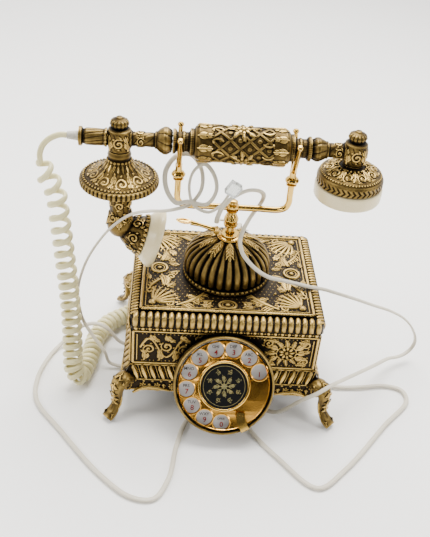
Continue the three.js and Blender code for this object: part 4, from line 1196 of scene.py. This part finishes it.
gripLow, gripHigh = handset["grip"]
grip = turnedShape([(6, gripLow), (10.6, gripLow), (12.6, gripLow + 1.2), (14, gripLow + 4), (14.1, gripLow + 6),
                    (14.1, gripHigh - 6), (14, gripHigh - 4), (12.6, gripHigh - 1.2), (10.6, gripHigh), (6, gripHigh)],
                   340, 0.38, False, lattice)
placed(grip, lengthwise)
ringRound = tau * handset["radius"]
for end, facing in ((gripLow, 0), (gripHigh, math.pi)):
    inward = 1 if facing == 0 else -1
    for k in range(9):
        v = ringRound * k / 9
        leaf(grip, onGrip, end + inward * 2.4, v, facing, 12, 0, 5, 0.95, 0.3)
        stroke(grip, onGrip, bow(end + inward * 13.5, v - 4.4, facing + 0.9, 10.4, -1.8, 6), [0.5, 0.9, 0.5], 0.3)
        bead(grip, onGrip, end + inward * 14.6, v + ringRound / 18, 1.1)
for k in (0, 3, 6):
    v = ringRound * (k + 0.2) / 9
    rosette(grip, onGrip, 2.5, v - 4, 6.6, 8)
    for j in range(8):
        a = tau * j / 8
        leaf(grip, onGrip, 2.5 + 6 * math.cos(a), v - 4 + 6 * math.sin(a), a, 6.2, 0.5, 3, 0.75, 0.5)
finished(grip, "handsetGrip", "handset", "antique_brass", antiqueBrass, ("handset_grip",), 50)


def ribs(count, amount):
    return lambda angle, z, run: amount * (wave(count * angle) - 0.7)


for name, start, way, ball in (("left", gripLow - 0.3, -1, 10.5), ("right", gripHigh + 0.3, 1, 9.3)):
    collar = [(5, 0), (10.6, 0), (10.6, 2.2), (9, 2.6), (7.6, 3.6), (7.5, 6), (8.2, 6.8), (8.2, 8), (7.4, 8.8), (7.4,
            12.4),
              (9, 13.4), (9.6, 14.2), (9.6, 15.6), (8, 15.8)]
    turnedOne = turnedShape([(r, start + way * s) for r, s in collar][::way], 120, 0.5, False,
                          lambda angle, z, run: 0.25 * (wave(36 * angle) - 0.6))
    finished(placed(turnedOne, lengthwise), "collar" + name.title(), "handset", "antique_brass", antiqueBrass,
             ("handset_collar_" + name,), 50)
    begin = start + way * 16.1
    hub = handset["mouth"] if way < 0 else handset["ear"]
    run_ = abs(hub - begin) - 6
    bulb = [(6, 0), (ball * 0.8, 0.6), (ball, 4), (ball, 6.4), (ball * 0.84, 9.6), (6.8, 12), (6.9, 13), (5.6, 13.8),
            (5.5, run_ - 4), (6.8, run_ - 3), (7, run_ - 1.6), (6, run_)]

    def petals(angle, z, run, begin=begin, way=way):
        gone = (z - begin) * way
        return (0.75 * (wave(8 * angle + 0.25 * gone) - 0.7) * (1 - ramp(gone, 10, 12))
                + 0.4 * (wave(6 * angle + way * 0.8 * gone) - 0.6) * ramp(gone, 14, 15))
    stem = placed(turnedShape([(r, begin + way * s) for r, s in bulb][::way], 144, 0.45, False, petals), lengthwise)
    middleX = begin + way * 0.5 * (14 + run_)

    def onStem(u, v, h):
        return Vector((u, (5.6 + h) * math.sin(v / 5.6), handset["z"] + (5.6 + h) * math.cos(v / 5.6)))
    for k in range(4):
        scroll(stem, onStem, middleX, tau * 5.6 * k / 4, 3.4, 0.5, 1, 4, 0.7)
    finished(stem, "stem" + name.title(), "handset", "antique_brass", antiqueBrass, ("handset_stem_" + name,), 50)

for name, x in (("mouth", handset["mouth"]), ("ear", handset["ear"])):
    acorn = [(0, 212.6), (7.4, 212.8), (8.6, 213.6), (9.3, 217), (9.3, 227), (8.8, 230), (7, 231.2), (5.2, 232),
            (6.6, 233),
             (7.4, 235), (6.6, 237.4), (3.8, 239), (3, 239.5), (2.2, 240.3), (0, 240.6)]

    def flutedHub(angle, z, run):
        drum = ramp(z, 214.5, 216) * (1 - ramp(z, 228, 229.5))
        nut = ramp(z, 232.2, 233) * (1 - ramp(z, 237.4, 238.6))
        return 0.5 * (wave(12 * angle + 0.6 * z) - 0.75) * drum + 0.7 * (wave(14 * angle) - 0.8) * nut
    drumShape = turnedShape(acorn, 168, 0.45, False, flutedHub)

    def onDrum(u, v, h):
        return Vector(((9.2 + h) * math.sin(u / 9.2), -(9.2 + h) * math.cos(u / 9.2), v))
    for k in range(4):
        scroll(drumShape, onDrum, tau * 9.2 * k / 4, 221.5, 4.4, 0.8, 1, 5, 0.95)
        leaf(drumShape, onDrum, tau * 9.2 * (k + 0.5) / 4, 215, math.pi / 2, 13, 0.4, 5, 0.95)
    finished(placed(drumShape, across(x)), name + "Hub", "handset", "antique_brass", antiqueBrass, (name + "_hub",), 50)

ferrule = turnedShape([(2, -123), (7.5, -123), (7.5, -120.8), (5.6, -119.6), (6.5, -117), (6.6, -110), (6.3, -104),
        (7.2, -102.8),
                       (7.2, -101.7), (3, -101.6)], 132, 0.45, False,
                      lambda angle, z, run: 0.42 * (wave(12 * angle + 0.35 * z) - 0.7) * ramp(z, -119.4, -118))
finished(placed(ferrule, lengthwise), "cordFerrule", "handset", "antique_brass", antiqueBrass, ("cord_ferrule",), 50)
boot = turnedShape([(0, -132), (2.9, -131.9), (3.1, -131), (3.5, -127), (3.9, -123.4), (1, -123.3)], 32, 0.4, False,
                   lambda angle, z, run: -0.35 * (1 - wave(tau * z / 1.7)) * (1 - ramp(z, -124.6, -123.8)))
finished(placed(boot, lengthwise), "cordBoot", "handset", "grey_strain_relief", greyBoot, ("cord_boot",), 50)
print("handset turned")

# Mouthpiece bell: a broad disc with a knurled rim, beads and a wreath of scrolls
bellLine = [(12, 188.5), (28, 185.7), (30.4, 184.1), (31.4, 184.4), (31.6, 186.5), (31, 188.9), (29.8, 189.6), (26,
        190.8),
            (25, 191), (19, 193.9), (13.5, 198.3), (10.4, 202), (8.6, 206.4), (9.3, 209), (8.4, 212.5), (4, 212.5)]


def bellRim(angle, z, run):
    return 1.1 * (wave(52 * angle) - 0.75) * ramp(z, 184.2, 184.8) * (1 - ramp(z, 188.8, 189.4))


# U runs round in mm at radius 20, v is the radius
def onBell(u, v, h):
    height = between([197.8, 194.3, 192.2, 191.1, 190.6], (v - 14) / 13)
    angle = u / 20
    return Vector(((v + 0.4 * h) * math.cos(angle), (v + 0.4 * h) * math.sin(angle), height + h))


bell = turnedShape(bellLine, 336, 0.6, False, bellRim)
for k in range(9):
    scroll(bell, onBell, tau * 20 * k / 9, 20.6, 5, 1.9, 1, 5, 1.15)
    leaf(bell, onBell, tau * 20 * (k + 0.5) / 9, 13.5, 1.5, 12, 0.5, 5, 1)
for k in range(60):
    bead(bell, onBell, tau * 20 * k / 60, 28.4, 0.95)
for k in range(20):
    angle = tau * k / 20
    bead(bell, lambda u, v, h: Vector(((v + h) * math.cos(u), (v + h) * math.sin(u), 204.6)), angle, 9.2, 1.35)
    stroke(bell, lambda u, v, h: Vector(((between([9.4, 11, 14], (204 - v) / 7) + h) * math.cos(u),
                                         (between([9.4, 11, 14], (204 - v) / 7) + h) * math.sin(u), v)),
           [(angle, 203.4), (angle, 200.6), (angle, 197.8)], [0.5, 1.5, 0.4], 0.2)
finished(placed(bell, across(handset["mouth"])), "mouthBell", "handset", "antique_brass", antiqueBrass,
        ("mouth_bell",), 50)

# Elbow and horn
tilt = math.radians(16.5)
mouthTurn = across(-71.3, 134.2) @ Matrix.Rotation(math.pi / 2 + tilt, 4, "Y")
elbow = placed(turnedShape([(0, 141), (8.6, 141), (8.8, 150), (8.2, 158), (8.4, 172), (9.4, 180), (9.6, 187.6), (5,
        187.9)], 120, 0.6,
                           False, lambda angle, z, run: 0.5 * (wave(9 * angle + 0.22 * z) - 0.6)), across(-91.2))
added(elbow, placed(turnedShape([(0, -11.5), (5, -10.4), (9, -7.2), (11.4, 0), (9, 7.2), (5, 10.4), (0, 11.5)], 96,
        0.6, True),
                    across(-90.5, 145)))


def onNeck(u, v, h):
    radius = between([11.4, 9, 8.4, 8.6, 9.2, 9.6], (v - 145) / 42) + h
    return Vector((-91 + radius * math.sin(u / 9), -radius * math.cos(u / 9), v))


for k in range(5):
    for level_, hand in ((177, 1), (166, -1), (154, 1)):
        scroll(elbow, onNeck, tau * 9 * (k + 0.5 * (hand > 0)) / 5, level_, 3.9, hand * 1.4, hand, 5, 0.9)
    leaf(elbow, onNeck, tau * 9 * k / 5, 146, math.pi / 2, 11, 0.5, 5, 0.95)
horn = turnedShape([(5, -20), (8, -18), (10.6, -15), (12.6, -11), (13.8, -8), (15.2, -5), (16.2, -3), (17, -2), (17, 0),
                    (12, 0.1)], 180, 0.5, False,
                   lambda angle, s, run: 0.75 * (wave(9 * angle + 0.5 * math.sin(0.6 * s)) - 0.65) * (1 - ramp(s, -5,
                           -3.6)))


def onHorn(u, v, h):
    radius = between([10.6, 13.5, 15.2, 17, 17.2], (v + 15) / 15) + h
    return Vector((radius * math.cos(u / 15), radius * math.sin(u / 15), v))


for k in range(7):
    scroll(horn, onHorn, tau * 15 * k / 7, -9.2, 4.6, 0.5, -1 if k % 2 else 1, 4, 0.8)
for k in range(26):
    stroke(horn, onHorn, [(tau * 15 * k / 26, -0.4), (tau * 15 * k / 26, -3.4)], [1.8, 0.2], 0.1)
added(elbow, placed(horn, mouthTurn))
finished(elbow, "mouthElbow", "handset", "antique_brass", antiqueBrass, ("mouth_elbow",), 50)
mouthCap = turnedShape([(12, 0.3), (17.6, 0.3), (18.4, 0.8), (20.6, 2.9), (23.6, 6.6), (24.6, 8.6), (24.6, 10.4),
        (24.1, 11.8),
                        (22.6, 12.4), (20.4, 12.1), (16, 10), (11, 7.9), (5, 6.8), (0, 6.6)], 128, 0.5)
finished(placed(mouthCap, mouthTurn), "mouthpieceCap", "handset", "ivory_plastic", ivory, ("mouthpiece_cap",), 40)

# Ear shell with a leafed crown and a herringbone band, over the ivory ear cap
earLine = [(12, 194.7), (25.6, 194.7), (26.5, 195.4), (26.4, 201.4), (25.6, 203.2), (23.6, 205.2), (18, 208), (12,
        209.6), (10, 210),
           (8.4, 211), (8.2, 212.5), (4, 212.5)]


def herringbone(angle, z, run):
    band = ramp(z, 195.4, 196) * (1 - ramp(z, 201, 201.8))
    return 0.95 * (wave(40 * angle + 1.1 * abs(z - 198.4)) - 0.75) * band


# U runs round in mm at radius 17, v is the radius
def onCrown(u, v, h):
    height = between([210.2, 209.4, 208, 206.2, 204.2], (v - 10) / 15)
    return Vector((v * math.cos(u / 17), v * math.sin(u / 17), height + h))


earShell = turnedShape(earLine, 348, 0.5, False, herringbone)
for k in range(10):
    scroll(earShell, onCrown, tau * 17 * k / 10, 18, 4.2, 1.9, 1, 5, 1.05)
    leaf(earShell, onCrown, tau * 17 * (k + 0.5) / 10, 11, 1.5, 11, 0.4, 5, 0.95)
for k in range(24):
    bead(earShell, onCrown, tau * 17 * k / 24, 11, 1.2)
for k in range(64):
    bead(earShell, onCrown, tau * 17 * k / 64, 23.9, 0.9)
finished(placed(earShell, across(handset["ear"])), "earShell", "handset", "antique_brass", antiqueBrass,
        ("ear_shell",), 50)
earCap = turnedShape([(0, 186.1), (8, 185.8), (12, 185.1), (17, 183.2), (20, 182.1), (22.6, 181.5), (24.6, 181.6),
        (26.2, 182.5),
                      (27.1, 184.2), (27.3, 187), (27.3, 192.6), (26.9, 193.8), (26, 194.4), (14, 194.4)], 128, 0.5)
finished(placed(earCap, across(handset["ear"])), "earCap", "handset", "ivory_plastic", ivory, ("ear_cap",), 40)
print("earpiece turned")

# ---- dial
dial = {"place": (0, -88, 49.8), "tilt": 62, "wheel": 38.1, "hole": 6.65, "circle": 30.8, "first": 24, "step": 27.2,
        "plateZ": -5.7, "bezel": 41.5}
dialTurn = Matrix.Translation(dial["place"]) @ Matrix.Rotation(math.radians(dial["tilt"]), 4, "X")


def dialFace(u, v, h):
    return Vector((u, v, h))


bezel = turnedShape([(37.6, -7), (41, -7), (41.5, -6), (41.5, -1.4), (41, 0), (40.2, 0.5), (39.4, 0.1), (38.7, -1.6),
        (38.6, -6.6)],
                    200, 0.5, False)
finished(placed(bezel, dialTurn), "dialBezel", "base", "antique_brass", antiqueBrass, ("dial_bezel",), 40)
housing = turnedShape([(34, -7.3), (40.8, -7.3), (41, -9), (39.4, -14), (37.6, -22), (36.5, -31), (34, -36)], 160,
        0.8, False,
                      lambda angle, z, run: 0.7 * (wave(40 * angle) - 0.7) * (1 - ramp(z, -9.4, -8.2)))
finished(placed(housing, dialTurn), "dialCup", "base", "antique_brass", antiqueBrass, (), 50)


# A flat disc with round holes and softened edges, between two heights
def punched(outer, holes, lowEnd, highEnd, edge):
    drawing = bpy.data.curves.new("drawing", "CURVE")
    drawing.dimensions = "2D"
    drawing.fill_mode = "BOTH"
    for x, y, radius in [(0, 0, outer)] + holes:
        count = 120 if radius > 12 else 48
        ring = drawing.splines.new("POLY")
        ring.points.add(count - 1)
        ring.use_cyclic_u = True
        inset = radius - edge if radius == outer else radius + edge
        for i, point in enumerate(ring.points):
            a = tau * i / count
            point.co = (x + inset * math.cos(a), y + inset * math.sin(a), 0, 1)
    drawing.extrude = (highEnd - lowEnd) / 2 - edge
    drawing.bevel_depth = edge
    drawing.bevel_resolution = 2
    holder = bpy.data.objects.new("drawing", drawing)
    bpy.context.collection.objects.link(holder)
    bpy.context.view_layer.update()
    made = bpy.data.meshes.new_from_object(holder)
    shape = bmesh.new()
    shape.from_mesh(made)
    bpy.data.objects.remove(holder)
    bpy.data.curves.remove(drawing)
    bpy.data.meshes.remove(made)
    bmesh.ops.remove_doubles(shape, verts=shape.verts, dist=0.001)
    bmesh.ops.translate(shape, verts=shape.verts, vec=(0, 0, (lowEnd + highEnd) / 2))
    return shape


def holeAt(i, radius=None):
    angle = math.radians(dial["first"] + dial["step"] * i)
    radius = radius or dial["circle"]
    return radius * math.cos(angle), radius * math.sin(angle)


holes = [(*holeAt(i), dial["hole"]) for i in range(10)]
wheel = punched(dial["wheel"], holes, -2.2, -0.8, 0.3)
for x, y, radius in holes:
    lip = turnedShape([(radius - 0.15, -2), (radius + 0.1, -0.7), (radius + 0.6, -0.45), (radius + 1.1, -0.75)], 48,
            0.3)
    added(wheel, placed(lip, Matrix.Translation((x, y, 0))))
added(wheel, turnedShape([(36.6, -0.85), (37, -0.4), (37.6, -0.4), (38, -0.9)], 160, 0.3))
finished(placed(wheel, dialTurn), "fingerWheel", "dial_rotor", "polished_brass", dialBrass, ("finger_wheel",), 40)
plate = turnedShape([(16, -6.8), (37.6, -6.8), (38.1, -6.6), (38.1, -5.9), (37.6, -5.7), (16, -5.7)], 120, 1, False)
finished(placed(plate, dialTurn), "numberPlate", "base", "dial_plate_enamel", plateEnamel, ("number_plate",), 40)
cardRing = turnedShape([(19.1, -0.5), (21.4, -0.5), (21.5, 0.2), (21, 0.9), (20.3, 1.1), (19.5, 0.8), (19.1, 0.2)],
        120, 0.25)
finished(placed(cardRing, dialTurn), "cardRing", "dial_rotor", "polished_brass", polishedBrass, ("card_ring",), 50)
cardDisc = turnedShape([(0, -0.5), (18.8, -0.5), (18.8, 0.1), (18, 0.3), (0, 0.4)], 96, 1)
finished(placed(cardDisc, dialTurn), "centreCard", "dial_rotor", "black_card", blackCard, ("centre_card",), 40)
printShape = bmesh.new()


def cardFace(u, v, h):
    return Vector((u, v, 0.32 + 0.12 * h))


for k in range(8):
    angle = tau * k / 8
    leaf(printShape, cardFace, 3 * math.cos(angle), 3 * math.sin(angle), angle, 7, 0.6, 4, 0.4, 0)
    scroll(printShape, cardFace, 12.4 * math.cos(angle + 0.39), 12.4 * math.sin(angle + 0.39), 2, angle, 1, 3, 0.26)
rosette(printShape, cardFace, 0, 0, 3, 8)
stroke(printShape, cardFace, [(17 * math.cos(tau * i / 72), 17 * math.sin(tau * i / 72)) for i in range(73)], [0.13,
        0.13], 0, 0.5, 4)
finished(placed(printShape, dialTurn), "cardPattern", "dial_rotor", "black_card", goldPrint, (), 50)


def lettering(body, place, size, thick=0.05):
    words = bpy.data.curves.new("words", "FONT")
    words.body = body
    words.size = size
    words.align_x = "CENTER"
    words.align_y = "CENTER"
    words.extrude = thick
    words.offset = 0.012 * size
    holder = bpy.data.objects.new("words", words)
    bpy.context.collection.objects.link(holder)
    bpy.context.view_layer.update()
    made = bpy.data.meshes.new_from_object(holder)
    shape = bmesh.new()
    shape.from_mesh(made)
    bpy.data.objects.remove(holder)
    bpy.data.curves.remove(words)
    bpy.data.meshes.remove(made)
    return placed(shape, Matrix.Translation((*place, dial["plateZ"] + thick)))


letters = ["", "ABC", "DEF", "GHI", "JKL", "MNO", "PRS", "TUV", "WXY", "OPER"]
numerals, alphabet = bmesh.new(), bmesh.new()
for i in range(10):
    added(numerals, lettering(str((i + 1) % 10), (holeAt(i)[0] + 0.6, holeAt(i)[1] - 3.4), 6))
    if letters[i]:
        added(alphabet, lettering(letters[i], (holeAt(i)[0], holeAt(i)[1] + 1.5), 3.5 if i < 9 else 2.6))
finished(placed(numerals, dialTurn), "dialNumerals", "base", "dial_plate_enamel", redInk, (), 50)
finished(placed(alphabet, dialTurn), "dialLetters", "base", "dial_plate_enamel", blackInk, (), 50)
stopAngle = math.radians(-62)
reach = Vector((math.cos(stopAngle), math.sin(stopAngle), 0))
aside = Vector((-reach.y, reach.x, 0))
hook = [reach * 41.2 + Vector((0, 0, 0.9)), reach * 38 + Vector((0, 0, 1.2)), reach * 33 + aside * 0.4 + Vector((0,
        0, 1.4)),
        reach * 29 + aside * 1.2 + Vector((0, 0, 1.2)), reach * 26 + aside * 3 + Vector((0, 0, 0.9))]
stop = hoseAlong(smoothLine(hook, 0.6), [(3.6, 0.1), (2.8, 0.8), (1.2, 1.2), (-1.2, 1.2), (-2.8, 0.8), (-3.6, 0.1),
        (-3.6, -0.4), (3.6, -0.4)], aside)
bmesh.ops.recalc_face_normals(stop, faces=stop.faces)
finished(placed(stop, dialTurn), "fingerStop", "base", "polished_brass", polishedBrass, ("finger_stop",), 40)
print("dial set")

# Collar under the post, with a fluted skirt and the lever's fork
collarShape = turnedShape([(4, 137.1), (10, 137.1), (10.2, 138), (9, 138.8), (6.6, 139.6), (7.4, 140.6), (7.2,
        141.6), (4, 141.6)], 120,
                          0.35, False, lambda angle, z, run: 0.4 * (wave(24 * angle) - 0.7) * (1 - ramp(z, 138.6,
                                  139.2)))
lug = turnedShape([(0, -3.4), (2.2, -3.4), (2.4, -3), (2.4, 3), (2.2, 3.4), (0, 3.4)], 32, 0.5)
added(collarShape, placed(lug, across(-11.2, 143) @ Matrix.Rotation(math.pi / 2, 4, "X")))
finished(collarShape, "postCollar", "base", "polished_brass", polishedBrass, ("post_collar",), 50)

# ---- finishes of the frame parts that stay
finishOf = {"antique_brass": groundBrass, "polished_brass": polishedBrass, "ivory_plastic": ivory,
            "plated_steel": zincSteel, "black_phenolic": phenolic, "copper_winding": copperWire,
            "dial_plate_enamel": plateEnamel, "black_card": blackCard, "grey_strain_relief": greyBoot,
            "cream_curly_cord": creamJacket, "white_line_cord": whiteJacket, "clear_plug_plastic": clearPlug}
for entry in frame["record"]["subparts"]:
    node = bpy.data.objects.get(entry["node"])
    if node and node.type == "MESH":
        node.data.materials.clear()
        node.data.materials.append(finishOf[entry["material_slot"]])
print("frame parts finished")

# ---- end
with open("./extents.json", "w") as out:
    json.dump({"cad": [list(c) for c in cadBounds], "visual": [list(c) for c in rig.bounds()]}, out)
